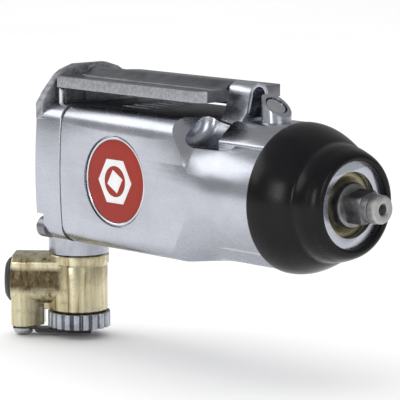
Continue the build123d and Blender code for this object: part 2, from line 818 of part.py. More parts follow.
def socket_ring():
    """The split friction ring in the drive's groove."""
    start = drive_length - drive_groove_from_tip + running_fit
    end = start + drive_groove_width - 2 * running_fit
    ring = ring_x(start, end, socket_ring_radius, drive_groove_radius + seat_clearance)
    split = block((start - cut_over, end + cut_over), (0, socket_ring_radius + cut_over),
                  (-socket_ring_gap / 2, socket_ring_gap / 2))
    return ring - Rot(drive_turn, 0, 0) * split


# ---- trigger and throttle ------------------------------------------------------------------------
def trigger_paddle():
    """The butterfly trigger: two dished wings on a tube that rocks on the pivot rod."""
    plate = block((trigger_back_x, trigger_front_x), (-trigger_half_width, trigger_half_width),
                  (trigger_plate_low, trigger_plate_high))
    upright = plate.edges().filter_by(Axis.Z)
    plate = chamfer(upright, trigger_corner)
    for side in (1, -1):
        inner = trigger_tube_radius + 0.6
        outer = trigger_half_width - trigger_rim_width
        dish = block((trigger_back_x + trigger_rim_width, trigger_front_x - trigger_rim_width),
                     sorted((side * inner, side * outer)),
                     (trigger_plate_high - trigger_dish_depth, trigger_plate_high + cut_over))
        plate = plate - dish
    tube_back = lug_front_x + trigger_side_gap
    tube = rod_x(tube_back, trigger_tube_front_x, trigger_tube_radius, 0, pivot_z)
    plate = plate + tube
    notch = block((trigger_tube_front_x, trigger_front_x + cut_over),
                  (-trigger_front_notch, trigger_front_notch), (0, far))
    plate = plate - notch
    lug_room = block((trigger_back_x - cut_over, tube_back),
                     (-lug_radius - trigger_side_gap, lug_radius + trigger_side_gap), (0, far))
    plate = plate - lug_room
    return plate - rod_x(trigger_back_x - cut_over, trigger_front_x + cut_over,
                         pivot_rod_radius + running_fit, 0, pivot_z)


def trigger_pivot_rod():
    """The rod through the rear lug, the trigger and the front arch."""
    return rod_x(wall_front_x - 1.0, arch_back_x + arch_web + 0.8, pivot_rod_radius, 0, pivot_z)


def valve_spool(side):
    """One throttle spool: a push pin on two lands, moved by a wing of the trigger."""
    y = side * spool_y
    solid = rod_z(spool_low_land[0], spool_top - spool_pin_radius, spool_pin_radius, spool_x, y)
    solid = solid + Pos(spool_x, y, spool_top - spool_pin_radius) * Sphere(spool_pin_radius)
    solid = solid + rod_z(spool_low_land[1], spool_high_land[0], spool_neck_radius, spool_x, y)
    for low, high in (spool_high_land, spool_low_land):
        solid = solid + rod_z(low, high, spool_land_radius, spool_x, y)
    middle = sum(spool_high_land) / 2
    return solid - ring_z(middle - seal_height / 2 - running_fit, middle + seal_height / 2 + running_fit,
                          spool_land_radius + cut_over, spool_land_radius - seal_groove_depth, spool_x, y)


def spool_seal(side):
    """The rubber ring in the spool's upper land."""
    middle = sum(spool_high_land) / 2
    return ring_z(middle - seal_height / 2, middle + seal_height / 2, spool_land_radius,
                  spool_land_radius - seal_groove_depth, spool_x, side * spool_y)


def valve_spring(side):
    """The coil spring under a spool."""
    low = spool_room_floor + spring_wire
    height = spool_low_land[0] - spring_wire - touch_gap - low
    path = Pos(spool_x, side * spool_y, low) * Helix(height / spring_turns, height, spring_radius)
    section = Plane(origin=path @ 0, z_dir=path % 0) * Circle(spring_wire)
    return sweep(section, path=path, is_frenet=True)


# ---- air inlet -----------------------------------------------------------------------------------
def inlet_bushing():
    """The steel bushing screwed up into the cap: its stem hangs down and the swivel turns on it."""
    stem_bottom = collar_top - stem_length
    solid = rod_z(collar_top + touch_gap, body_bottom, inlet_boss_radius, inlet_x)
    solid = solid + rod_z(body_bottom, body_bottom + stem_length - 1.0, inlet_stem_radius, inlet_x)
    solid = solid + rod_z(stem_bottom, collar_top + touch_gap, inlet_stem_radius, inlet_x)
    solid = solid - rod_z(stem_bottom - cut_over, body_bottom + stem_length + cut_over, inlet_air_radius, inlet_x)
    for low in stem_grooves():
        solid = solid - ring_z(low, low + stem_groove_height, inlet_stem_radius + cut_over,
                               inlet_stem_radius - stem_groove_depth, inlet_x)
    reach = inlet_stem_radius + cut_over
    solid = solid - rod_y(-reach, reach, stem_cross_hole_radius, inlet_x, arm_axis_z)
    solid = solid - rod_x(inlet_x - reach, inlet_x + reach, stem_cross_hole_radius, 0, arm_axis_z)
    clip = circlip_z()
    return solid - ring_z(clip, clip + circlip_thickness, inlet_stem_radius + cut_over,
                          inlet_stem_radius - stem_groove_depth, inlet_x)


def stem_grooves():
    """The low ends of the two seal grooves in the stem."""
    return [collar_top - drop for drop in stem_groove_drops]


def circlip_z():
    """The low side of the circlip's groove."""
    return collar_top - stem_length + 1.4


def inlet_o_rings():
    """The two rubber rings on the stem."""
    rings = []
    for low in stem_grooves():
        rings.append(ring_z(low + running_fit, low + stem_groove_height - running_fit, inlet_stem_radius,
                            inlet_stem_radius - stem_groove_depth, inlet_x))
    return Compound(children=[as_one(ring) for ring in rings])


def swivel_circlip():
    """The clip that keeps the swivel on the stem."""
    low = circlip_z() + running_fit
    ring = ring_z(low, low + circlip_thickness - 2 * running_fit, circlip_radius,
                  inlet_stem_radius - stem_groove_depth + seat_clearance, inlet_x)
    return ring - block((inlet_x, inlet_x + 2 * circlip_radius), (-1.5, 1.5), (low - 1, low + 2))


def arm_frame():
    """A frame on the arm's axis: its Z runs out along the arm, its X is up."""
    return Plane(origin=(inlet_x, 0, arm_axis_z), x_dir=(0, 0, 1), z_dir=arm_direction)


def arm_bar(start, end, radius):
    """A round bar on the arm's axis."""
    return arm_frame() * Pos(0, 0, (start + end) / 2) * Cylinder(radius, end - start)


def turned_to_arm(shape):
    """A shape made along -X through the inlet's axis, turned to the arm's direction."""
    return Pos(inlet_x, 0, 0) * Rot(0, 0, arm_turn) * shape


def arm_block():
    """The arm's bar: flat on top, sloped to upright sides, and round below."""
    section = mirrored([
        (arm_side_half_width, arm_side_bottom),
        (arm_side_half_width, arm_side_top),
        (arm_top_half_width, arm_top),
    ])
    length = arm_length - arm_collar_length / 2
    bar = prism_x(section, -length, 0) + rod_x(-length, 0, arm_round_radius)
    return Pos(0, 0, arm_axis_z) * bar


def swivel_body():
    """The brass swivel: collar, valve body, eight-sided arm with the air port, and the screw post."""
    solid = rod_z(collar_bottom, collar_top, collar_radius, inlet_x)
    solid = solid + rod_z(valve_body_bottom, collar_bottom, valve_body_radius, inlet_x)
    solid = solid + turned_to_arm(arm_block())
    collar = arm_bar(arm_length - arm_collar_length, arm_length, arm_collar_radius)
    solid = solid + chamfer(collar.edges().filter_by(GeomType.CIRCLE), arm_collar_length / 3)
    outline = mirrored([
        (post_end_half_width, -post_reach - post_half_length),
        (post_half_width, -post_reach - post_flat_half_length),
        (post_half_width, -post_reach + post_flat_half_length),
        (web_half_width, -web_start),
    ])
    foot = Polyline(*[(along, y, post_bottom) for y, along in outline], close=True)
    post = extrude(make_face(foot), amount=arm_axis_z - post_bottom, dir=(0, 0, 1))
    solid = solid + turned_to_arm(post)
    solid = solid - rod_z(regulator_room_top(), collar_top + cut_over, inlet_stem_radius + running_fit, inlet_x)
    clip = circlip_z()
    solid = solid - rod_z(clip - 1.5, clip + circlip_thickness + 0.7, circlip_radius + touch_gap, inlet_x)
    solid = solid - rod_z(valve_body_bottom - cut_over, clip - 1.0, regulator_spool_radius + running_fit, inlet_x)
    solid = solid - arm_bar(arm_length - port_depth, arm_length + cut_over, port_radius)
    solid = solid - arm_bar(arm_length - port_depth - screen_thickness, arm_length, screen_radius)
    solid = solid - arm_bar(0, arm_length, inlet_air_radius)
    screw = rod_z(post_bottom - cut_over, post_bottom + post_screw_depth, plate_screw_radius, -post_reach)
    return solid - turned_to_arm(screw)


def regulator_room_top():
    """Where the stem's bore ends."""
    return circlip_z() - 1.4


def port_ring():
    """The domed rubber guard ring on the end of the arm, round the air port."""
    dome_radius = (port_ring_radius ** 2 - port_ring_bore ** 2) / (
        2 * (port_ring_thickness - port_ring_edge)) / 2 + port_ring_thickness
    disc = arm_bar(arm_length, arm_length + port_ring_thickness, port_ring_radius)
    rise = sqrt(dome_radius ** 2 - port_ring_bore ** 2)
    centre = arm_length + port_ring_thickness - rise
    dome = arm_frame() * Pos(0, 0, centre) * Sphere(dome_radius)
    hole = arm_bar(arm_length - cut_over, arm_length + port_ring_thickness + cut_over, port_ring_bore)
    return (disc & dome) - hole


def inlet_screen():
    """The strainer at the bottom of the air port."""
    start = arm_length - port_depth - screen_thickness
    disc = arm_bar(start, start + screen_thickness, screen_radius)
    for index in range(screen_holes - 1):
        angle = radians(360 / (screen_holes - 1) * index)
        reach = screen_radius * 0.6
        hole = Pos(reach * cos(angle), reach * sin(angle), start + screen_thickness / 2) * Cylinder(
            screen_hole_radius, screen_thickness + 2 * cut_over)
        disc = disc - arm_frame() * hole
    return disc - arm_bar(start - cut_over, start + screen_thickness + cut_over, screen_hole_radius)


def stop_plate():
    """The joggled steel strip from the post to under the knob."""
    high = post_bottom
    low = knob_bottom - plate_knob_gap
    near = -post_reach - plate_half_width
    step = -post_reach + plate_half_width + 1.0
    plate_drop = high - low
    outline = Polyline(
        (near, 0, high), (step, 0, high), (step + plate_drop, 0, low), (plate_past_axis, 0, low),
        (plate_past_axis, 0, low - plate_thickness), (step + plate_drop - 0.6, 0, low - plate_thickness),
        (step - 0.6, 0, high - plate_thickness), (near, 0, high - plate_thickness), close=True)
    strip = extrude(make_face(outline), amount=plate_half_width, both=True)
    hole = rod_z(high - 2 * plate_thickness, high + cut_over, plate_screw_radius + running_fit, -post_reach)
    return turned_to_arm(strip - hole)


def stop_plate_screw():
    """The pan-head screw under the stop plate."""
    head_top = post_bottom - plate_thickness
    head = rod_z(head_top - plate_screw_head_height, head_top, plate_screw_head_radius, -post_reach)
    head = fillet(head.edges().group_by(Axis.Z)[0], plate_screw_head_height * 0.5)
    shank = rod_z(head_top, post_bottom + post_screw_depth - cut_over, plate_screw_radius, -post_reach)
    slot = block((-post_reach - 5, -post_reach + 5), (-0.5, 0.5),
                 (head_top - plate_screw_head_height - 1, head_top - plate_screw_head_height + 0.9))
    return turned_to_arm(head + shank - slot)


def regulator_knob():
    """The fluted knob of the air regulator, on the regulator's stem."""
    solid = rod_z(knob_bottom, knob_top, knob_radius, inlet_x)
    for index in range(knob_flutes):
        angle = radians(360 / knob_flutes * index)
        x = inlet_x + knob_radius * cos(angle)
        y = knob_radius * sin(angle)
        solid = solid - rod_z(knob_bottom - cut_over, knob_top + cut_over, knob_flute_radius, x, y)
    return solid - rod_z(knob_bottom - cut_over, knob_top + cut_over, regulator_spool_radius - 1.5, inlet_x)


def regulator_spool():
    """The regulator's plug, which turns with the knob and throttles the air."""
    solid = rod_z(knob_top, knob_top + regulator_spool_height - 1.0, regulator_spool_radius, inlet_x)
    solid = solid + rod_z(knob_bottom + 0.5, knob_top, regulator_spool_radius - 1.5, inlet_x)
    middle = knob_top + 2.5
    return solid - ring_z(middle, middle + stem_groove_height, regulator_spool_radius + cut_over,
                          regulator_spool_radius - stem_groove_depth, inlet_x)


def regulator_o_ring():
    """The rubber ring on the regulator's plug."""
    middle = knob_top + 2.5
    return ring_z(middle + running_fit, middle + stem_groove_height - running_fit, regulator_spool_radius,
                  regulator_spool_radius - stem_groove_depth, inlet_x)


# ---- all nodes -----------------------------------------------------------------------------------
rear_outer, rear_inner, rear_balls = bearing_races(rear_plate_x[0])
front_outer, front_inner, front_balls = bearing_races(front_plate_x[1] - bearing_width)

nodes = {
    "motor_housing": motor_housing(),
    "rear_cap": rear_cap(),
    "cap_gasket": cap_gasket(),
    "cap_screws": cap_screws(),
    "nose_bushing": nose_bushing(),
    "rubber_boot": rubber_boot(),
    "grease_plug": grease_plug(),
    "grease_plug_washer": grease_plug_washer(),
    "badge_plate": badge_plate(),
    "badge_inlay": badge_inlay(),
    "rear_end_plate": rear_end_plate(),
    "front_end_plate": front_end_plate(),
    "cylinder_liner": cylinder_liner(),
    "liner_dowel": liner_dowel(),
    "rear_bearing_outer_race": rear_outer,
    "rear_bearing_inner_race": rear_inner,
    "rear_bearing_balls": rear_balls,
    "front_bearing_outer_race": front_outer,
    "front_bearing_inner_race": front_inner,
    "front_bearing_balls": front_balls,
    "rotor": rotor(),
    "rotor_vanes": rotor_vanes(),
    "hammer_cage": hammer_cage(),
    "dog_pin": dog_pin(),
    "hammer_dog": hammer_dog(),
    "anvil": anvil(),
    "socket_ring": socket_ring(),
    "trigger_paddle": trigger_paddle(),
    "trigger_pivot_rod": trigger_pivot_rod(),
    "left_valve_spool": valve_spool(1),
    "right_valve_spool": valve_spool(-1),
    "left_spool_seal": spool_seal(1),
    "right_spool_seal": spool_seal(-1),
    "left_valve_spring": valve_spring(1),
    "right_valve_spring": valve_spring(-1),
    "inlet_bushing": inlet_bushing(),
    "inlet_o_rings": inlet_o_rings(),
    "swivel_circlip": swivel_circlip(),
    "swivel_body": swivel_body(),
    "port_ring": port_ring(),
    "inlet_screen": inlet_screen(),
    "stop_plate": stop_plate(),
    "stop_plate_screw": stop_plate_screw(),
    "regulator_knob": regulator_knob(),
    "regulator_spool": regulator_spool(),
    "regulator_o_ring": regulator_o_ring(),
}

os.makedirs("parts", exist_ok=True)
for name, shape in nodes.items():
    export_step(as_one(shape), os.path.join("parts", name + ".step"))
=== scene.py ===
"""Looks of the butterfly impact wrench: housing, trigger, rubber nose boot, brass swivel inlet."""
from math import cos, pi, radians, sin, sqrt

import bpy
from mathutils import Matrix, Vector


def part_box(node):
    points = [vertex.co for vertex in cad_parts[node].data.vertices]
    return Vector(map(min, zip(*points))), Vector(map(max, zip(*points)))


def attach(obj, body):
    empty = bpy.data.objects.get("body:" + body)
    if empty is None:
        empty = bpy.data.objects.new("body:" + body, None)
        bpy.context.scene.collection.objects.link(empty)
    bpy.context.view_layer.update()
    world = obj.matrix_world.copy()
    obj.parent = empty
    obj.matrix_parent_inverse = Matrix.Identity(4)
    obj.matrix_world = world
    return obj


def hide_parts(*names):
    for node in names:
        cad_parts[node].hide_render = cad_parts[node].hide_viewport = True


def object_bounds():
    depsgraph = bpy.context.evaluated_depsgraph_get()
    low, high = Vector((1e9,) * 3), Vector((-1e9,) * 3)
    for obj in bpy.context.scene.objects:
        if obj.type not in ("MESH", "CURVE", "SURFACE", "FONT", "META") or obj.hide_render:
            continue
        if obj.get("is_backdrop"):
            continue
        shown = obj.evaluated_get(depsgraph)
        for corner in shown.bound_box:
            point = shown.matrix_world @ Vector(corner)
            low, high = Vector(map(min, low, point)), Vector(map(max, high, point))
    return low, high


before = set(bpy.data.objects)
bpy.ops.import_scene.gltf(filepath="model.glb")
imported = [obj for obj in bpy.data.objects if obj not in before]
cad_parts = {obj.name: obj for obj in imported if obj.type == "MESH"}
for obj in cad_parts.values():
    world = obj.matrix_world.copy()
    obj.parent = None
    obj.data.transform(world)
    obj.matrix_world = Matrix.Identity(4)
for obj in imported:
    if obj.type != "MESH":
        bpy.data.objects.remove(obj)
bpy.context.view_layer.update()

MM = 0.001
inlet_x = -145.2
arm_turn = 44.0
arm_z = -43.9


# ---- hand work ------------------------------------------------------------------------------------
def pick(piece):
    """Only this piece is selected, and it is the active one."""
    if bpy.context.mode != "OBJECT":
        bpy.ops.object.mode_set(mode="OBJECT")
    bpy.ops.object.select_all(action="DESELECT")
    piece.select_set(True)
    bpy.context.view_layer.objects.active = piece


def start_point(name, place):
    """A new piece that is one vertex, left in edit mode."""
    if bpy.context.mode != "OBJECT":
        bpy.ops.object.mode_set(mode="OBJECT")
    bpy.ops.object.select_all(action="DESELECT")
    bpy.ops.mesh.primitive_plane_add(size=MM)
    piece = bpy.context.object
    piece.name = name
    bpy.ops.object.mode_set(mode="EDIT")
    bpy.ops.mesh.select_mode(type="VERT")
    bpy.ops.mesh.select_all(action="SELECT")
    bpy.ops.mesh.merge(type="CENTER")
    bpy.ops.transform.translate(value=[c * MM for c in place])
    return piece


def draw_line(points):
    """The selected vertex is drawn out along points, in millimetres."""
    for here, there in zip(points, points[1:]):
        step = [(b - a) * MM for a, b in zip(here, there)]
        bpy.ops.mesh.extrude_region_move(TRANSFORM_OT_translate={"value": step})


def close_up():
    """Loose doubles are merged, and faces turned outwards."""
    bpy.ops.mesh.select_all(action="SELECT")
    bpy.ops.mesh.remove_doubles(threshold=0.01 * MM)
    bpy.ops.mesh.normals_make_consistent(inside=False)
    bpy.ops.object.mode_set(mode="OBJECT")


def spun(name, profile, axis="X", centre=(0.0, 0.0), steps=96):
    """A turned piece: profile is (place along the axis, radius), and centre is the axis's other two coordinates."""
    if axis == "X":
        points = [(along, centre[0], centre[1] + radius) for along, radius in profile]
        middle, line = (0, centre[0] * MM, centre[1] * MM), (1, 0, 0)
    elif axis == "Y":
        points = [(centre[0], along, centre[1] + radius) for along, radius in profile]
        middle, line = (centre[0] * MM, 0, centre[1] * MM), (0, 1, 0)
    else:
        points = [(centre[0] + radius, centre[1], along) for along, radius in profile]
        middle, line = (centre[0] * MM, centre[1] * MM, 0), (0, 0, 1)
    piece = start_point(name, points[0])
    draw_line(points)
    bpy.ops.mesh.select_all(action="SELECT")
    bpy.ops.mesh.spin(steps=steps, angle=2 * pi, center=middle, axis=line)
    close_up()
    return piece


def prism(name, outline, axis, low, high):
    """A bar of constant section: outline is in the two other axes, in X, Y, Z order."""
    def place(u, v):
        return {"X": (low, u, v), "Y": (u, low, v), "Z": (u, v, low)}[axis]
    points = [place(u, v) for u, v in outline]
    piece = start_point(name, points[0])
    draw_line(points)
    bpy.ops.mesh.select_all(action="SELECT")
    bpy.ops.mesh.edge_face_add()
    step = {"X": (high - low, 0, 0), "Y": (0, high - low, 0), "Z": (0, 0, high - low)}[axis]
    bpy.ops.mesh.extrude_region_move(TRANSFORM_OT_translate={"value": [s * MM for s in step]})
    close_up()
    return piece


def block(name, x, y, z):
    """A box from its low and high place along each axis."""
    return prism(name, [(y[0], z[0]), (y[1], z[0]), (y[1], z[1]), (y[0], z[1])], "X", x[0], x[1])


def rod(name, axis, low, high, radius, centre=(0.0, 0.0), steps=64):
    """A round bar along an axis."""
    return spun(name, [(low, 0), (low, radius), (high, radius), (high, 0)], axis, centre, steps)


def ball(name, place, radius):
    """A round ball of quads."""
    arc = [(place[0] - radius * cos(pi * i / 24), radius * sin(pi * i / 24)) for i in range(25)]
    return spun(name, arc, "X", (place[1], place[2]), 48)


def combine(piece, tool, how):
    """A boolean of piece with tool, applied; the tool is used up."""
    pick(piece)
    bpy.ops.object.modifier_add(type="BOOLEAN")
    modifier = piece.modifiers[-1]
    modifier.operation = how
    modifier.solver = "EXACT"
    modifier.object = tool
    bpy.ops.object.modifier_apply(modifier=modifier.name)
    bpy.data.objects.remove(tool)
    return piece


def join(piece, *tools):
    """Pieces welded to one."""
    for tool in tools:
        combine(piece, tool, "UNION")
    return piece


def cut(piece, *tools):
    """Pieces cut out of one."""
    for tool in tools:
        combine(piece, tool, "DIFFERENCE")
    return piece


def soften(piece, width, segments=3, angle=35.0):
    """Edges sharper than angle are rounded."""
    pick(piece)
    bpy.ops.object.mode_set(mode="EDIT")
    bpy.ops.mesh.select_all(action="SELECT")
    bpy.ops.mesh.remove_doubles(threshold=0.02 * MM)
    bpy.ops.mesh.dissolve_limited(angle_limit=radians(1.0))
    bpy.ops.object.mode_set(mode="OBJECT")
    bpy.ops.object.modifier_add(type="BEVEL")
    modifier = piece.modifiers[-1]
    modifier.width = width * MM
    modifier.segments = segments
    modifier.limit_method = "ANGLE"
    modifier.angle_limit = radians(angle)
    modifier.use_clamp_overlap = True
    modifier.miter_outer = "MITER_ARC"
    bpy.ops.object.modifier_apply(modifier=modifier.name)
    return piece


def turn(piece, degrees, axis, centre):
    """The piece is turned in place about an axis through centre, in millimetres."""
    pick(piece)
    bpy.ops.object.mode_set(mode="EDIT")
    bpy.ops.mesh.select_all(action="SELECT")
    bpy.ops.transform.rotate(value=-radians(degrees), orient_axis=axis, orient_type="GLOBAL",
                             center_override=[c * MM for c in centre])
    bpy.ops.object.mode_set(mode="OBJECT")
    return piece


def copied(piece, name, shift):
    """A copy with its own mesh, moved by shift in millimetres."""
    pick(piece)
    bpy.ops.object.duplicate(linked=False)
    twin = bpy.context.object
    twin.name = name
    bpy.ops.object.mode_set(mode="EDIT")
    bpy.ops.mesh.select_all(action="SELECT")
    bpy.ops.transform.translate(value=[s * MM for s in shift])
    bpy.ops.object.mode_set(mode="OBJECT")
    return twin


def joined(piece, others):
    """Several objects made one object, without welding."""
    pick(piece)
    for other in others:
        other.select_set(True)
    bpy.ops.object.join()
    return piece


def mount(piece, body, slot, material, *nodes, smooth=35.0):
    """The finished piece is shaded, given its finish and set on its body."""
    pick(piece)
    bpy.ops.object.transform_apply(location=True, rotation=True, scale=True)
    bpy.ops.object.shade_smooth_by_angle(angle=radians(smooth))
    piece.data.materials.clear()
    piece.data.materials.append(material)
    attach(piece, body)
    if nodes:
        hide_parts(*nodes)
    return piece


def repaint(piece, material, wanted):
    """A second finish on the faces whose centre and normal are wanted."""
    piece.data.materials.append(material)
    for face in piece.data.polygons:
        if wanted([c / MM for c in face.center], face.normal):
            face.material_index = len(piece.data.materials) - 1


# ---- finishes -------------------------------------------------------------------------------------
class Finish:
    """A procedural finish on object coordinates."""

    def __init__(self, name, metallic=0.0, coat=0.0, coat_roughness=0.1):
        self.material = bpy.data.materials.new(name)
        self.material.use_nodes = True
        self.tree = self.material.node_tree
        self.shader = self.tree.nodes["Principled BSDF"]
        self.shader.inputs["Metallic"].default_value = metallic
        self.shader.inputs["Coat Weight"].default_value = coat
        self.shader.inputs["Coat Roughness"].default_value = coat_roughness
        self.place = self.tree.nodes.new("ShaderNodeTexCoord").outputs["Object"]

    def link(self, source, target):
        self.tree.links.new(source, target)
        return target

    def stretched(self, scale):
        """Object coordinates stretched along the axes."""
        node = self.tree.nodes.new("ShaderNodeMapping")
        node.inputs["Scale"].default_value = scale
        self.link(self.place, node.inputs["Vector"])
        return node.outputs["Vector"]

    def noise(self, scale, detail=5.0, roughness=0.55, stretch=(1, 1, 1)):
        node = self.tree.nodes.new("ShaderNodeTexNoise")
        node.inputs["Scale"].default_value = scale
        node.inputs["Detail"].default_value = detail
        node.inputs["Roughness"].default_value = roughness
        self.link(self.stretched(stretch), node.inputs["Vector"])
        return node.outputs["Fac"]

    def ramp(self, value, stops):
        node = self.tree.nodes.new("ShaderNodeValToRGB")
        elements = node.color_ramp.elements
        while len(elements) < len(stops):
            elements.new(0.5)
        for element, (place, colour) in zip(elements, stops):
            element.position = place
            element.color = (*colour, 1.0)
        self.link(value, node.inputs["Fac"])
        return node.outputs["Color"]

    def span(self, value, low, high, source=(0.3, 0.7)):
        node = self.tree.nodes.new("ShaderNodeMapRange")
        node.inputs["From Min"].default_value = source[0]
        node.inputs["From Max"].default_value = source[1]
        node.inputs["To Min"].default_value = low
        node.inputs["To Max"].default_value = high
        self.link(value, node.inputs["Value"])
        return node.outputs["Result"]

    def math(self, how, a, b):
        node = self.tree.nodes.new("ShaderNodeMath")
        node.operation = how
        for socket, value in zip(node.inputs, (a, b)):
            if isinstance(value, (int, float)):
                socket.default_value = value
            else:
                self.link(value, socket)
        return node.outputs["Value"]

    def mix(self, share, a, b, how="MIX"):
        node = self.tree.nodes.new("ShaderNodeMix")
        node.data_type = "RGBA"
        node.blend_type = how
        self.link(share, node.inputs["Factor"])
        for socket, value in ((node.inputs["A"], a), (node.inputs["B"], b)):
            if isinstance(value, tuple):
                socket.default_value = (*value, 1.0)
            else:
                self.link(value, socket)
        return node.outputs["Result"]

    def axes(self):
        """The place along each axis."""
        node = self.tree.nodes.new("ShaderNodeSeparateXYZ")
        self.link(self.place, node.inputs["Vector"])
        return node.outputs

    def colour(self, value):
        self.link(value, self.shader.inputs["Base Color"])

    def rough(self, value):
        self.link(value, self.shader.inputs["Roughness"])

    def bump(self, *layers):
        """Relief: each layer is (height, depth in millimetres)."""
        normal = None
        for value, depth in layers:
            node = self.tree.nodes.new("ShaderNodeBump")
            node.inputs["Strength"].default_value = 1.0
            node.inputs["Distance"].default_value = depth * MM
            self.link(value, node.inputs["Height"])
            if normal:
                self.link(normal, node.inputs["Normal"])
            normal = node.outputs["Normal"]
        self.link(normal, self.shader.inputs["Normal"])


def metal_finish(name, light, dark, rough, tone=60.0, grain=1800.0, relief=0.004, wave=0.0, stretch=(1, 1, 1)):
    """Bare metal with a slow change of tone, a fine grain and a little waviness."""
    finish = Finish(name, metallic=1.0)
    slow = finish.noise(tone, 4.0)
    fine = finish.noise(grain, 6.0, stretch=stretch)
    finish.colour(finish.ramp(slow, [(0.3, dark), (0.7, light)]))
    finish.rough(finish.span(finish.math("MULTIPLY", finish.math("ADD", slow, fine), 0.5), *rough))
    layers = [(fine, relief)]
    if wave:
        layers.append((finish.noise(tone * 1.5, 2.0), wave))
    finish.bump(*layers)
    return finish.material


def soft_finish(name, light, dark, rough, tone=120.0, grain=2500.0, relief=0.01, coat=0.0):
    """Rubber, paper or composite: mottled, with a fine moulded grain."""
    finish = Finish(name, coat=coat, coat_roughness=0.25)
    slow = finish.noise(tone, 5.0)
    fine = finish.noise(grain, 5.0)
    finish.colour(finish.ramp(slow, [(0.3, dark), (0.7, light)]))
    finish.rough(finish.span(finish.math("MULTIPLY", finish.math("ADD", slow, fine), 0.5), *rough))
    finish.bump((fine, relief))
    return finish.material


aluminium = metal_finish("polished_aluminium", (0.50, 0.515, 0.565), (0.42, 0.435, 0.485), (0.22, 0.31),
                         tone=70.0, grain=900.0, relief=0.0006, wave=0.006, stretch=(0.25, 1, 1))
casting = metal_finish("trigger_casting", (0.46, 0.465, 0.49), (0.26, 0.265, 0.285), (0.40, 0.62),
                       tone=900.0, grain=3200.0, relief=0.05)
trigger_top = metal_finish("trigger_top_face", (0.25, 0.255, 0.275), (0.14, 0.145, 0.16), (0.28, 0.44),
                           tone=160.0, grain=1500.0, relief=0.012, stretch=(0.05, 1, 1))
bright_steel = metal_finish("screw_steel", (0.62, 0.63, 0.65), (0.45, 0.46, 0.48), (0.22, 0.36), grain=2200.0)
drive_steel = metal_finish("drive_steel", (0.29, 0.29, 0.295), (0.13, 0.13, 0.135), (0.26, 0.42),
                           tone=260.0, grain=2400.0, relief=0.012)
tip_steel = metal_finish("drive_tip_steel", (0.50, 0.50, 0.49), (0.34, 0.34, 0.34), (0.42, 0.56),
                         tone=500.0, grain=2400.0, relief=0.02)
inlet_steel = metal_finish("inlet_steel", (0.50, 0.51, 0.56), (0.30, 0.31, 0.35), (0.18, 0.30),
                           tone=160.0, grain=1500.0, relief=0.006, stretch=(1, 1, 0.1))
# Painted shade: a darker copy of the knob metal for the flute grooves and the knob's underside.
knob_groove_painted_shade = metal_finish("knob_groove_painted_shade", (0.26, 0.27, 0.30), (0.13, 0.135, 0.155), (0.35, 0.5), tone=240.0)
cap_screw_steel = metal_finish("cap_screw_steel", (0.30, 0.30, 0.32), (0.15, 0.15, 0.16), (0.28, 0.42), tone=300.0)
# Painted shade: a darker copy of the casting metal for the housing's top under the trigger, where the trigger casts
# shade.
painted_shade_casting = metal_finish("painted_shade_casting", (0.20, 0.20, 0.215), (0.09, 0.09, 0.10), (0.4, 0.6),
                              tone=260.0, grain=1500.0, relief=0.05)
knob_steel = metal_finish("knob_metal", (0.56, 0.58, 0.64), (0.34, 0.36, 0.41), (0.20, 0.36), tone=240.0)
bronze = metal_finish("nose_bronze", (0.36, 0.33, 0.21), (0.22, 0.20, 0.12), (0.36, 0.52), tone=300.0, relief=0.008)
spring_steel = metal_finish("spring_steel", (0.46, 0.46, 0.48), (0.30, 0.30, 0.32), (0.3, 0.45))
bearing_steel = metal_finish("bearing_steel", (0.72, 0.73, 0.75), (0.60, 0.61, 0.63), (0.12, 0.24))
motor_iron = metal_finish("motor_iron", (0.46, 0.46, 0.47), (0.32, 0.32, 0.33), (0.35, 0.5), tone=180.0)
rotor_steel = metal_finish("rotor_steel", (0.60, 0.61, 0.63), (0.46, 0.47, 0.49), (0.25, 0.4), tone=150.0)
hammer_steel = metal_finish("hammer_steel", (0.34, 0.34, 0.36), (0.20, 0.20, 0.21), (0.3, 0.46), tone=200.0)
spool_steel = metal_finish("spool_steel", (0.72, 0.73, 0.75), (0.58, 0.59, 0.61), (0.2, 0.34))
screen_brass = metal_finish("screen_brass", (0.68, 0.58, 0.34), (0.5, 0.42, 0.25), (0.3, 0.45))
rim_metal = metal_finish("badge_metal", (0.66, 0.67, 0.70), (0.50, 0.51, 0.54), (0.18, 0.3))
black_plate = soft_finish("black_plate", (0.030, 0.030, 0.034), (0.014, 0.014, 0.016), (0.3, 0.5), coat=0.2)
boot_rubber = soft_finish("boot_rubber", (0.0060, 0.0056, 0.0070), (0.0030, 0.0030, 0.0038), (0.20, 0.32),
                          tone=90.0, relief=0.006)
boot_rubber.node_tree.nodes["Principled BSDF"].inputs["Specular IOR Level"].default_value = 0.20
seal_rubber = soft_finish("seal_rubber", (0.025, 0.025, 0.027), (0.012, 0.012, 0.013), (0.5, 0.65))
port_rubber = soft_finish("port_rubber", (0.022, 0.022, 0.025), (0.010, 0.010, 0.012), (0.4, 0.55))
gasket_paper = soft_finish("gasket_paper", (0.060, 0.060, 0.066), (0.030, 0.030, 0.034), (0.6, 0.8))
vane_composite = soft_finish("vane_composite", (0.30, 0.20, 0.11), (0.18, 0.11, 0.06), (0.5, 0.7))
red_enamel = soft_finish("badge_enamel", (0.33, 0.036, 0.026), (0.28, 0.028, 0.020), (0.42, 0.52),
                         tone=60.0, relief=0.002)
red_enamel.node_tree.nodes["Principled BSDF"].inputs["Specular IOR Level"].default_value = 0.2
white_enamel = soft_finish("badge_white", (0.82, 0.82, 0.82), (0.74, 0.74, 0.74), (0.3, 0.45), relief=0.002)


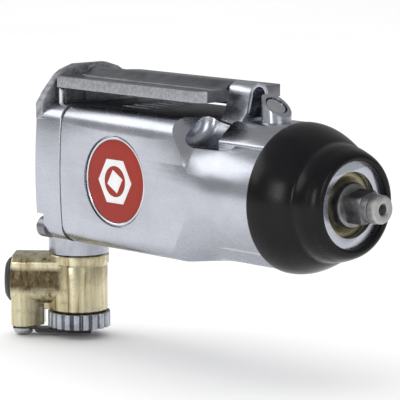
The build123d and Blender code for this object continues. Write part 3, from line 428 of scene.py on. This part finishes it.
def brass_finish():
    """Pale cast and turned brass: vertical streaks, dark stains and a rough dark band round the arm."""
    finish = Finish("swivel_brass", metallic=1.0)
    streaks = finish.noise(330.0, 6.0, 0.6, (1, 1, 0.07))
    stains = finish.noise(240.0, 8.0, 0.68)
    pits = finish.noise(700.0, 8.0, 0.72, (1, 1, 0.45))
    base = finish.ramp(streaks, [(0.34, (0.20, 0.16, 0.085)), (0.42, (0.50, 0.43, 0.27)),
                                 (0.52, (0.62, 0.56, 0.37)), (0.66, (0.76, 0.72, 0.54))])
    dirt = finish.ramp(stains, [(0.52, (0.0, 0.0, 0.0)), (0.70, (0.55, 0.55, 0.55))])
    base = finish.mix(dirt, base, (0.22, 0.18, 0.10))
    along = finish.axes()
    wavy = finish.math("ADD", along["Z"], finish.math("MULTIPLY", finish.math("SUBTRACT", stains, 0.5), 2.4 * MM))
    below_top = finish.span(wavy, 1.0, 0.0, (-39.6 * MM, -37.8 * MM))
    above_foot = finish.span(wavy, 0.0, 1.0, (-48.6 * MM, -45.4 * MM))
    reach = finish.math("ADD", finish.math("MULTIPLY", along["X"], -cos(radians(arm_turn))),
                        finish.math("MULTIPLY", along["Y"], -sin(radians(arm_turn))))
    start = -inlet_x * cos(radians(arm_turn)) * MM
    away = finish.span(finish.math("ADD", reach, finish.math("MULTIPLY", stains, 3.0 * MM)), 0.0, 1.0,
                       (start + 6.6 * MM, start + 8.4 * MM))
    band = finish.math("MULTIPLY", finish.math("MULTIPLY", below_top, above_foot), away)
    rough_brass = finish.ramp(pits, [(0.36, (0.055, 0.042, 0.024)), (0.56, (0.15, 0.115, 0.065)),
                                     (0.72, (0.36, 0.30, 0.18))])
    finish.colour(finish.mix(band, base, rough_brass))
    finish.rough(finish.math("ADD", finish.span(stains, 0.22, 0.40), finish.math("MULTIPLY", band, 0.15)))
    finish.bump((stains, 0.02), (finish.math("MULTIPLY", pits, finish.math("ADD", band, 0.06)), 0.16))
    return finish.material


swivel_brass = brass_finish()


# ---- the housing ----------------------------------------------------------------------------------
low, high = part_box("motor_housing")
seam_x = low[0] / MM
nose_x = -1.4
axis_z = 0.0
body_top, body_bottom = 26.0, -25.0
body_half, crown, corner = 23.6, 1.5, 6.5
pivot_z = 33.7


def body_outline(inset=0.0, corner_steps=8, side_steps=8):
    """The rounded square section with slightly crowned sides, as (y, z)."""
    top, bottom = body_top - inset, body_bottom + inset
    half = body_half - inset
    radius = corner - inset
    middle, reach = (top + bottom) / 2, (top - bottom) / 2
    quarter = [(half - radius + radius * cos(a), top - radius + radius * sin(a))
               for a in (pi / 2 * i / corner_steps for i in range(corner_steps + 1))]
    side = [(half, middle + (top - radius - middle) * i / side_steps) for i in range(side_steps)]
    right = side + quarter
    points = right + [(-y, z) for y, z in reversed(right)]
    points += [(-y, 2 * middle - z) for y, z in right[1:]] + [(y, 2 * middle - z) for y, z in reversed(right[1:])]
    return [(y + (1 if y > 0 else -1) * crown * (1 - ((z - middle) / reach) ** 2), z) for y, z in points]


def envelope():
    """The turned shape that the square body is coned down to."""
    return spun("envelope", [
        (seam_x - 1, 0), (seam_x - 1, 36), (-68.1, 34.0), (-66.5, 32.9), (-60.5, 28.2), (-58.6, 26.8), (-56.8, 26.1),
        (-45.9, 24.6), (-20.0, 24.6), (-9.5, 18.9), (nose_x, 16.2), (nose_x, 0)], steps=128)


def mirrored(points):
    return points + [(-y, z) for y, z in reversed(points)]


def arch_points(wall):
    """The trigger's front lug, seen from the front."""
    leg, foot, round_top = 5.2 - wall, 8.2 - wall, 4.5 - wall
    arc = [(round_top * cos(a), pivot_z + round_top * sin(a)) for a in (pi / 12 * i for i in range(6))]
    return mirrored([(foot + 0.8, 20.0), (foot, 25.2), (leg + 0.6, 28.2), (leg, 31.0)] + arc + [(0.3, pivot_z + round_top)])


def housing():
    """The main casting."""
    piece = prism("motor_housing_casting", body_outline(), "X", seam_x, nose_x + 1)
    combine(piece, envelope(), "INTERSECT")
    pad = prism("pad", mirrored([(16.0, 10.0), (16.9, 18.6), (15.0, 20.7), (9.6, 24.8), (8.0, 25.2)]), "X", -50.0, -25.8)
    rail = prism("rail", mirrored([(9.6, -23.9), (16.9, -18.4), (16.9, -10.0)]), "X", -68.1, -25.8)
    for side in (1, -1):
        hollow = rod("hollow", "X", -61.5, -39.5, 10.5, (side * 19.6, 26.4))
        soften(hollow, 4.5, 6)
        cut(piece, hollow)
    soften(pad, 0.8, 3)
    boss = rod("boss", "Z", 18.6, 34.5, 5.2, (-37.9, 0.0))
    slope = block("slope", (-60, -15), (-20, 20), (0, 20))
    turn(slope, 37.0, "Y", (-37.9, 0, 0))
    pick(slope)
    bpy.ops.object.mode_set(mode="EDIT")
    bpy.ops.mesh.select_all(action="SELECT")
    bpy.ops.transform.translate(value=(0, 0, 31.0 * MM))
    bpy.ops.object.mode_set(mode="OBJECT")
    cut(boss, slope)
    arch = prism("arch", arch_points(0.0), "X", -57.6, -46.8)
    niche = prism("niche", [(y, z) for y, z in arch_points(1.5)], "X", -54.6, -45.8)
    above = block("above", (-60, -40), (-12, 12), (10, 26.0))
    cut(niche, above)
    cut(arch, niche)
    join(piece, pad, rail, boss, arch)
    seat = rod("seat", "Z", -2.0, 3.0, 4.2)
    shank = rod("shank", "Z", -9.0, -1.0, 2.4)
    join(seat, shank)
    turn(seat, 37.0, "Y", (0, 0, 0))
    seat = shifted(seat, (-37.9, 0, 31.0))
    cut(piece, seat)
    cut(piece, rod("motor_bore", "X", seam_x - 1, -26.0, 21.5), rod("nose_bore", "X", -27.0, nose_x + 1, 11.4),
        rod("pivot_hole", "X", -58.6, -53.6, 1.6, (0, pivot_z)))
    for y in (-10.0, -5.0, 0.0, 5.0, 10.0):
        slot = block("slot", (-107, -93), (y - 1.2, y + 1.2), (17, 27))
        cut(piece, slot)
    cut(piece, rod("badge_recess", "Y", -26.1, -23.5, 16.5, (-95.3, 0.8), 96))
    for y, z in ((20.5, -20.7), (-20.5, -20.7), (11.0, 21.8), (-11.0, 21.8)):
        cut(piece, rod("screw_hole", "X", seam_x - 1, seam_x + 13, 2.0, (y, z), 32))
    soften(piece, 0.7, 3, 32.0)
    mount(piece, "housing", "polished_aluminium", aluminium, "motor_housing", smooth=40.0)
    # The flat top of the housing under the trigger gets painted shade.
    repaint(piece, painted_shade_casting, lambda c, n: n[2] > 0.97 and 25.5 < c[2] < 26.5 and c[0] < -58)


def shifted(piece, shift):
    pick(piece)
    bpy.ops.object.mode_set(mode="EDIT")
    bpy.ops.mesh.select_all(action="SELECT")
    bpy.ops.transform.translate(value=[s * MM for s in shift])
    bpy.ops.object.mode_set(mode="OBJECT")
    return piece



# ---- rear cap -------------------------------------------------------------------------------------
rear_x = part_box("rear_cap")[0][0] / MM + 0.0
rear_x = -140.5
cap_front_x = -125.7


def cap():
    """The end casting with its wall, lug and inlet pillar."""
    piece = prism("rear_cap_casting", body_outline(), "X", rear_x, cap_front_x)
    soften(piece, 1.0, 4)
    wall = prism("wall", mirrored([(24.2, 19.5), (24.2, 25.4), (21.5, 29.3), (15.8, 35.5), (13.0, 37.2),
                                   (7.1, 39.0)]), "X", rear_x, rear_x + 3.7)
    soften(wall, 0.5, 3)
    rib = prism("rib", mirrored([(13.0, 25.0), (13.0, 34.4), (7.8, 37.1), (3.2, 38.4)]), "X", rear_x + 3.0, rear_x + 4.7)
    lug = join(rod("lug", "X", rear_x + 3.0, rear_x + 5.9, 4.7, (0, pivot_z)),
               block("lug_foot", (rear_x + 3.0, rear_x + 5.9), (-4.7, 4.7), (25.0, pivot_z)))
    pillar = join(rod("pillar", "Z", -25.0, 2.0, 11.4, (inlet_x, 0.0)), ball("dome", (inlet_x, 0, 2.0), 11.4))
    cut(pillar, block("inside", (rear_x + 1.0, 0), (-30, 30), (-40, 40)))
    join(piece, wall, rib, lug, pillar)
    for side in (1, -1):
        y = side * 20.5
        cut(piece, rod("notch", "X", rear_x - 1, rear_x + 4.4, 5.4, (y, -20.7)))
        cut(piece, block("notch_out", (rear_x - 1, rear_x + 4.4), sorted((y, side * 31)), (-32, -15.3)))
        cut(piece, block("notch_in", (rear_x - 1, rear_x + 4.4), sorted((side * 15.1, side * 31)), (-32, -20.7)))
        cut(piece, rod("head_room", "X", rear_x - 1, rear_x + 4.6, 4.2, (side * 11.0, 21.8)))
        cut(piece, rod("pin_hole", "Z", 14.0, 27.0, 1.05, (-132.6, side * 18.2), 32))
        cut(piece, rod("spool_room", "Z", -14.0, 15.2, 2.65, (-132.6, side * 18.2), 32))
    for y, z in ((20.5, -20.7), (-20.5, -20.7), (11.0, 21.8), (-11.0, 21.8)):
        cut(piece, rod("screw_hole", "X", rear_x - 2, cap_front_x + 1, 2.15, (y, z), 32))
    cut(piece, rod("rod_hole", "X", rear_x + 2.7, rear_x + 7, 1.6, (0, pivot_z), 32),
        rod("stem_hole", "Z", -26.0, -11.0, 6.0, (inlet_x, 0)), rod("air_hole", "Z", -12.0, 5.5, 3.0, (inlet_x, 0)),
        rod("air_way", "X", inlet_x, -132.6, 2.0, (0, 5.5), 32),
        rod("cross_way", "Y", -18.2, 18.2, 2.0, (-132.6, 5.5), 32),
        rod("gasket_pocket", "X", cap_front_x - 2, cap_front_x + 1, 8.0))
    soften(piece, 0.5, 3, 40.0)
    mount(piece, "housing", "polished_aluminium", aluminium, "rear_cap", smooth=40.0)
    repaint(piece, rough_casting, lambda c, n: c[2] > 26.4 or (c[0] < rear_x + 3.8 and abs(c[1]) > 24.0 and c[2] > 19))


rough_casting = metal_finish("rough_casting", (0.50, 0.51, 0.54), (0.20, 0.21, 0.23), (0.42, 0.66),
                             tone=420.0, grain=1500.0, relief=0.12)


# ---- boot, nose and anvil -------------------------------------------------------------------------
def bow(start, pull, end, steps=10):
    """A curve from start to end, pulled towards a third point; the start is left out."""
    points = []
    for i in range(1, steps + 1):
        t = i / steps
        points.append(tuple((1 - t) ** 2 * a + 2 * t * (1 - t) * b + t * t * c for a, b, c in zip(start, pull, end)))
    return points


def boot():
    """The moulded rubber boot: rear bead, domed band, crease and rolled front lip."""
    outside = [(-25.5, 24.6), (-25.5, 25.9)]
    outside += bow((-25.5, 25.9), (-25.5, 26.3), (-25.0, 26.3), 4)
    outside += bow((-25.0, 26.3), (-21.2, 26.4), (-17.0, 24.75), 12)
    outside += bow((-17.0, 24.75), (-12.6, 22.95), (-10.2, 21.3), 12)
    outside += bow((-10.2, 21.3), (-9.3, 20.55), (-8.3, 20.45), 6)
    outside += bow((-8.3, 20.45), (-5.6, 20.3), (-3.2, 19.3), 10)
    outside += bow((-3.2, 19.3), (-0.2, 18.4), (0.6, 17.2), 10)
    outside += bow((0.6, 17.2), (1.1, 16.3), (0.8, 15.7), 6)
    outside += bow((0.8, 15.7), (0.5, 15.05), (-0.4, 15.0), 6)
    inside = [(-1.4, 15.0), (-1.4, 16.2), (-9.5, 18.9), (-20.0, 24.6), (-25.5, 24.6)]
    piece = spun("nose_boot", outside + inside, steps=144)
    return mount(piece, "housing", "boot_rubber", boot_rubber, "rubber_boot", smooth=45.0)


def bushing():
    """The bronze bush in the nose, with a coned mouth."""
    piece = spun("nose_bush", [(-22.0, 7.95), (-22.0, 11.0), (-21.6, 11.4), (-4.6, 11.4), (-4.1, 11.15), (-4.0, 10.8),
                               (-4.0, 9.75), (-4.15, 9.5), (-4.9, 7.95), (-22.0, 7.95)], steps=96)
    return mount(piece, "housing", "nose_bronze", bronze, "nose_bushing")


def anvil():
    """Jawed core, round shank and the square drive with its ring groove and centre hole."""
    piece = spun("anvil_forging", [(-65.8, 0), (-65.8, 8.3), (-42.4, 8.3), (-42.4, 7.9), (-24.3, 7.9), (-24.3, 11.0),
                                   (-22.3, 11.0), (-22.3, 7.9), (-1.1, 7.9), (-0.4, 7.5), (0.0, 6.6), (0.0, 0)], steps=96)
    jaw = block("jaw", (-65.8, -42.4), (-4.5, 4.5), (-11.8, 0))
    soften(jaw, 0.6)
    square = block("square", (-2.0, 13.5), (-4.765, 4.765), (-4.765, 4.765))
    turn(square, 15.0, "X", (0, 0, 0))
    soften(square, 0.45, 3)
    combine(square, spun("drive_envelope", [(-2.0, 0), (-2.0, 6.35), (6.4, 6.35), (7.3, 5.5), (10.2, 5.5), (10.2, 4.7),
                                            (10.5, 4.9), (12.9, 4.9), (13.5, 4.3), (13.5, 0)], steps=96), "INTERSECT")
    groove = spun("groove", [(7.3, 3.9), (7.3, 9.0), (10.2, 9.0), (10.2, 3.9), (7.3, 3.9)], steps=96)
    cut(square, groove)
    join(piece, jaw, square)
    cut(piece, spun("centre_hole", [(7.5, 0), (7.5, 1.9), (13.0, 1.9), (13.4, 2.3), (14.5, 2.3), (14.5, 0)], steps=48))
    soften(piece, 0.18, 2, 40.0)
    mount(piece, "anvil", "drive_steel", drive_steel, "anvil", smooth=35.0)
    repaint(piece, tip_steel, lambda c, n: c[0] > 10.22)


# ---- trigger --------------------------------------------------------------------------------------
def trigger():
    """Two dished wings on a tube."""
    tube = [(4.2 * sin(a), pivot_z + 4.2 * cos(a)) for a in (radians(d) for d in range(0, 60, 6))]
    under = [(4.2 * sin(a), pivot_z - 4.2 * cos(a)) for a in (radians(d) for d in range(0, 60, 6))]
    half = under[1:] + [(4.2, 31.6), (20.3, 31.6), (20.3, 35.6), (6.2, 35.6), (5.4, 35.75), (4.6, 36.2)] + tube[:0:-1][2:]
    outline = [under[0]] + half + [tube[0]] + [(-y, z) for y, z in reversed(half)]
    piece = prism("trigger_casting_piece", outline, "X", -135.4, -54.3)
    plan = prism("plan", [(-135.4, -17.5), (-132.6, -20.3), (-57.1, -20.3), (-54.3, -17.5), (-54.3, 17.5),
                          (-57.1, 20.3), (-132.6, 20.3), (-135.4, 17.5)], "Z", 20, 50)
    combine(piece, plan, "INTERSECT")
    for side in (1, -1):
        dish = block("dish", (-132.6, -57.6), sorted((side * 7.4, side * 17.6)), (34.6, 39.0))
        soften(dish, 0.9, 3)
        cut(piece, dish)
    front_room = block("front_room", (-58.3, -50), (-7.6, 7.6), (20, 50))
    lug_room = block("lug_room", (-140, -134.1), (-5.2, 5.2), (20, 50))
    cut(piece, front_room, lug_room)
    soften(piece, 0.45, 3, 30.0)
    cut(piece, rod("pivot_bore", "X", -140, -50, 1.65, (0, pivot_z), 32))
    mount(piece, "trigger", "trigger_casting", casting, "trigger_paddle", smooth=40.0)
    repaint(piece, trigger_top, lambda c, n: n[2] > 0.35 or n[2] < -0.8 or abs(c[1]) < 17.0)


# ---- badge ----------------------------------------------------------------------------------------
def badge():
    """A bright rim, red enamel and a plain nut emblem."""
    x, z = -95.3, 0.8
    rim = spun("badge_rim", [(-23.5, 0), (-23.5, 16.0), (-24.25, 16.0), (-24.5, 15.75), (-24.5, 15.3), (-24.35, 15.1),
                             (-23.9, 15.0), (-23.9, 0)], "Y", (x, z), 96)
    mount(rim, "housing", "badge_metal", rim_metal, "badge_plate")
    enamel = spun("badge_enamel_disc", [(-23.9, 0), (-23.9, 14.95), (-24.2, 14.95), (-24.32, 14.7), (-24.42, 12.0),
                                        (-24.5, 8.0), (-24.54, 4.0), (-24.55, 0)], "Y", (x, z), 96)
    mount(enamel, "housing", "badge_enamel", red_enamel, "badge_inlay")

    def ring_of(count, radius, start):
        return [(x + radius * cos(radians(start + 360 / count * i)), z + radius * sin(radians(start + 360 / count * i)))
                for i in range(count)]
    nut = prism("badge_nut_emblem", ring_of(6, 9.0, 0), "Y", -24.62, -24.3)
    cut(nut, rod("hole", "Y", -26, -23, 5.6, (x, z)))
    drive = prism("badge_square", ring_of(4, 4.3, 15), "Y", -24.62, -24.3)
    join(nut, drive)
    soften(nut, 0.08, 2)
    mount(nut, "housing", "badge_enamel", white_enamel)


# ---- air inlet ------------------------------------------------------------------------------------


def to_arm(piece):
    """A piece made along -X from the inlet's axis, moved there and turned to the arm's direction."""
    shifted(piece, (inlet_x, 0, 0))
    return turn(piece, arm_turn, "Z", (inlet_x, 0, 0))


def swivel():
    """The brass swivel: collar, valve body, many-sided arm, screw post and web."""
    piece = spun("swivel_brass_body", [(-33.4, 0), (-33.4, 10.9), (-33.9, 11.5), (-36.9, 11.5), (-37.4, 11.1), (-37.9, 10.7),
                                       (-38.4, 10.9), (-54.7, 10.9), (-55.4, 10.3), (-55.4, 0)], "Z", (inlet_x, 0), 96)
    section = mirrored([(9.0, -2.9), (9.0, 7.8), (5.5, 10.2)])
    bar = prism("bar", [(y, z + arm_z) for y, z in section], "X", -24.7, 0)
    soften(bar, 0.5, 3, 25.0)
    join(bar, rod("under", "X", -24.8, 0, 9.2, (0, arm_z), 96))
    end = spun("end", [(-25.4, 0), (-25.4, 8.4), (-24.9, 8.9), (-24.3, 9.0), (-23.8, 8.8), (-23.6, 8.4), (-23.6, 0)], "X", (0, arm_z), 64)
    outline = [(-25.3, -5.4), (-23.0, -7.8), (-19.6, -7.8), (-13.1, -2.6), (-13.1, 2.6), (-19.6, 7.8), (-23.0, 7.8), (-25.3, 5.4)]
    post = prism("post", outline, "Z", -61.0, arm_z)
    soften(post, 0.35, 3, 25.0)
    join(bar, post, block("web", (-15.0, -6.0), (-2.4, 2.4), (-55.1, arm_z)))
    for tool in (bar, end):
        to_arm(tool)
    join(piece, bar, end)
    soften(piece, 0.3, 2, 30.0)
    port = to_arm(spun("port", [(-26.5, 0), (-26.5, 5.9), (-25.4, 5.9), (-25.0, 5.56), (-13.4, 5.56), (-13.4, 5.0),
                                (-12.6, 5.0), (-12.6, 3.0), (-4.0, 3.0), (-4.0, 0)], "X", (0, arm_z), 64))
    screw = to_arm(rod("screw", "Z", -62.0, -53.0, 1.5, (-21.3, 0), 32))
    cut(piece, rod("stem", "Z", -48.8, -32.0, 6.05, (inlet_x, 0)), rod("clip_room", "Z", -47.5, -44.5, 7.7, (inlet_x, 0)),
        rod("plug", "Z", -57.0, -46.0, 5.05, (inlet_x, 0)), port, screw)
    mount(piece, "swivel", "swivel_brass", swivel_brass, "swivel_body", smooth=35.0)

    ring = to_arm(spun("port_guard", [(-25.4, 5.8), (-25.4, 8.4), (-25.8, 8.4), (-26.5, 7.9), (-27.2, 6.9), (-27.6, 6.2),
                                      (-27.5, 5.8), (-25.4, 5.8)], "X", (0, arm_z), 96))
    mount(ring, "swivel", "port_rubber", port_rubber, "port_ring", smooth=45.0)

    plate = prism("stop_strip", [(-24.9, -61.0), (-16.7, -61.0), (-15.2, -62.5), (4.8, -62.5), (4.8, -64.0), (-15.8, -64.0),
                                 (-17.3, -62.5), (-24.9, -62.5)], "Y", -3.6, 3.6)
    cut(plate, rod("hole", "Z", -66, -60, 1.55, (-21.3, 0), 32))
    soften(plate, 0.3, 3)
    mount(to_arm(plate), "swivel", "black_plate", black_plate, "stop_plate")

    head = spun("plate_screw", [(-64.7, 0), (-64.7, 2.4), (-64.5, 3.1), (-64.0, 3.6), (-63.2, 3.8), (-62.5, 3.8),
                                (-62.5, 1.5), (-54.0, 1.5), (-54.0, 0)], "Z", (-21.3, 0), 64)
    cut(head, block("slot", (-26, -16), (-0.5, 0.5), (-66, -63.8)), block("slot_across", (-21.8, -20.8), (-2.6, 2.6), (-66, -63.9)))
    mount(to_arm(head), "swivel", "screw_steel", bright_steel, "stop_plate_screw")


def knob():
    """The fluted regulator knob."""
    outline = []
    count = 20
    for i in range(count):
        for offset, reach in ((-4.2, 11.8), (-2.9, 11.2), (-1.2, 10.75), (1.2, 10.75), (2.9, 11.2), (4.2, 11.8), (9.0, 11.85)):
            a = radians(360 / count * i + offset)
            outline.append((inlet_x + reach * cos(a), reach * sin(a)))
    piece = prism("regulator_fluted_knob", outline, "Z", -61.5, -55.7)
    soften(piece, 0.3, 3, 50.0)
    cut(piece, rod("knob_bore", "Z", -63, -54, 3.5, (inlet_x, 0), 48))
    mount(piece, "regulator", "knob_metal", knob_steel, "regulator_knob", smooth=30.0)
    # The flute grooves and the underside get painted shade.
    repaint(piece, knob_groove_painted_shade, lambda c, n: sqrt((c[0] - inlet_x) ** 2 + c[1] ** 2) < 11.35 or n[2] < -0.9)


# ---- screws and plug ------------------------------------------------------------------------------
def screws():
    """Four socket-head screws, modelled once and copied."""
    first = spun("cap_screw_set", [(-140.5, 0), (-140.5, 3.5), (-140.1, 3.9), (-136.1, 3.9), (-135.9, 3.7), (-135.9, 2.0),
                                   (-113.6, 2.0), (-113.2, 1.6), (-113.2, 0)], "X", (11.0, 21.8), 48)
    hexagon = [(11.0 + 1.7 * cos(radians(60 * i)), 21.8 + 1.7 * sin(radians(60 * i))) for i in range(6)]
    cut(first, prism("key", hexagon, "X", -142, -138.1))
    second = copied(first, "second", (0, -22.0, 0))
    third = copied(first, "third", (-0.2, 9.5, -42.5))
    fourth = copied(first, "fourth", (-0.2, -31.5, -42.5))
    joined(first, [second, third, fourth])
    mount(first, "housing", "screw_steel", cap_screw_steel, "cap_screws", smooth=35.0)


def plug():
    """The slanted plug on its washer."""
    piece = spun("grease_plug_disc", [(-0.15, 0), (-0.25, 3.2), (-0.45, 3.6), (-0.9, 3.75), (-1.7, 3.75), (-1.7, 2.4), (-7.0, 2.4), (-7.0, 0)], "Z", (0, 0), 64)
    turn(piece, 37.0, "Y", (0, 0, 0))
    shifted(piece, (-37.9, 0, 31.0))
    mount(piece, "housing", "screw_steel", bright_steel, "grease_plug")


housing()
cap()
boot()
bushing()
anvil()
trigger()
badge()
swivel()
knob()
screws()
plug()

node_finish = {
    "cap_gasket": gasket_paper, "grease_plug_washer": seal_rubber, "rear_end_plate": motor_iron,
    "front_end_plate": motor_iron, "cylinder_liner": motor_iron, "liner_dowel": bearing_steel,
    "rear_bearing_outer_race": bearing_steel, "rear_bearing_inner_race": bearing_steel,
    "rear_bearing_balls": bearing_steel, "front_bearing_outer_race": bearing_steel,
    "front_bearing_inner_race": bearing_steel, "front_bearing_balls": bearing_steel, "rotor": rotor_steel,
    "rotor_vanes": vane_composite, "hammer_cage": hammer_steel, "dog_pin": bearing_steel,
    "hammer_dog": hammer_steel, "socket_ring": spring_steel, "trigger_pivot_rod": bright_steel,
    "left_valve_spool": spool_steel, "right_valve_spool": spool_steel, "left_spool_seal": seal_rubber,
    "right_spool_seal": seal_rubber, "left_valve_spring": spring_steel, "right_valve_spring": spring_steel,
    "inlet_bushing": inlet_steel, "inlet_o_rings": seal_rubber, "swivel_circlip": spring_steel,
    "inlet_screen": screen_brass, "regulator_spool": spool_steel, "regulator_o_ring": seal_rubber,
}
for node, material in node_finish.items():
    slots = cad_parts[node].data.materials
    slots.clear()
    slots.append(material)

# ---- floor, light and camera ----------------------------------------------------------------------
def studio():
    low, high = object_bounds()
    bpy.ops.object.select_all(action="DESELECT")
    bpy.ops.mesh.primitive_plane_add(size=12.0, location=(0, 0, low[2] - 0.0005))
    floor = bpy.context.object
    floor.name = "floor"
    finish = Finish("floor_paper")
    finish.colour(finish.ramp(finish.noise(3.0, 2.0), [(0.3, (0.90, 0.90, 0.90)), (0.7, (0.93, 0.93, 0.93))]))
    finish.rough(finish.span(finish.noise(40.0), 0.8, 0.9))
    floor.data.materials.append(finish.material)
    floor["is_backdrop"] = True
    world = bpy.data.worlds.new("studio")
    bpy.context.scene.world = world
    world.use_nodes = True
    world.node_tree.nodes["Background"].inputs["Color"].default_value = (1.0, 1.0, 1.0, 1.0)
    world.node_tree.nodes["Background"].inputs["Strength"].default_value = 0.40


def lamp(name, place, target, size, power, tint=(1, 1, 1)):
    """A soft rectangular lamp that points at a place, in metres."""
    from mathutils import Vector
    data = bpy.data.lights.new(name, "AREA")
    data.shape = "RECTANGLE"
    data.size, data.size_y = size
    data.energy = power
    data.color = tint
    lamp_object = bpy.data.objects.new(name, data)
    bpy.context.collection.objects.link(lamp_object)
    lamp_object.location = place
    lamp_object.rotation_euler = (Vector(target) - Vector(place)).to_track_quat("-Z", "Y").to_euler()
    return lamp_object


def camera():
    """The camera looks from the front right, a little above."""
    from mathutils import Matrix, Vector
    azimuth, elevation = radians(47.63), radians(8.22)
    back = Vector((sin(azimuth) * cos(elevation), -cos(azimuth) * cos(elevation), sin(elevation)))
    right = Vector((cos(azimuth), sin(azimuth), 0.0))
    up = back.cross(right)
    place = Vector((-63.5, 0, 0)) + back * 938.27 - right * 9.21 - up * 4.77
    data = bpy.data.cameras.new("camera")
    data.lens = 238.5
    data.sensor_width = 36.0
    eye = bpy.data.objects.new("camera", data)
    bpy.context.collection.objects.link(eye)
    turned = Matrix((right, up, back)).transposed().to_4x4()
    eye.matrix_world = Matrix.Translation(place * MM) @ turned
    bpy.context.scene.camera = eye


studio()
camera()
middle = (-0.06, 0.0, 0.0)
lamp("left_softbox", (-0.85, -0.55, 0.62), middle, (1.1, 0.5), 3.4)
lamp("nose_strip", (0.12, -1.1, 0.30), middle, (0.10, 0.5), 1.8)
lamp("front_softbox", (0.95, -0.35, 0.45), middle, (0.5, 0.5), 2.0)
sky = bpy.data.lights.new("overhead", "SUN")
sky.energy = 2.3
sky.angle = radians(100)
overhead = bpy.data.objects.new("overhead", sky)
bpy.context.collection.objects.link(overhead)
overhead.visible_glossy = False
overhead.rotation_euler = (radians(-12), radians(-14), 0)
bpy.context.scene.view_settings.view_transform = "Standard"
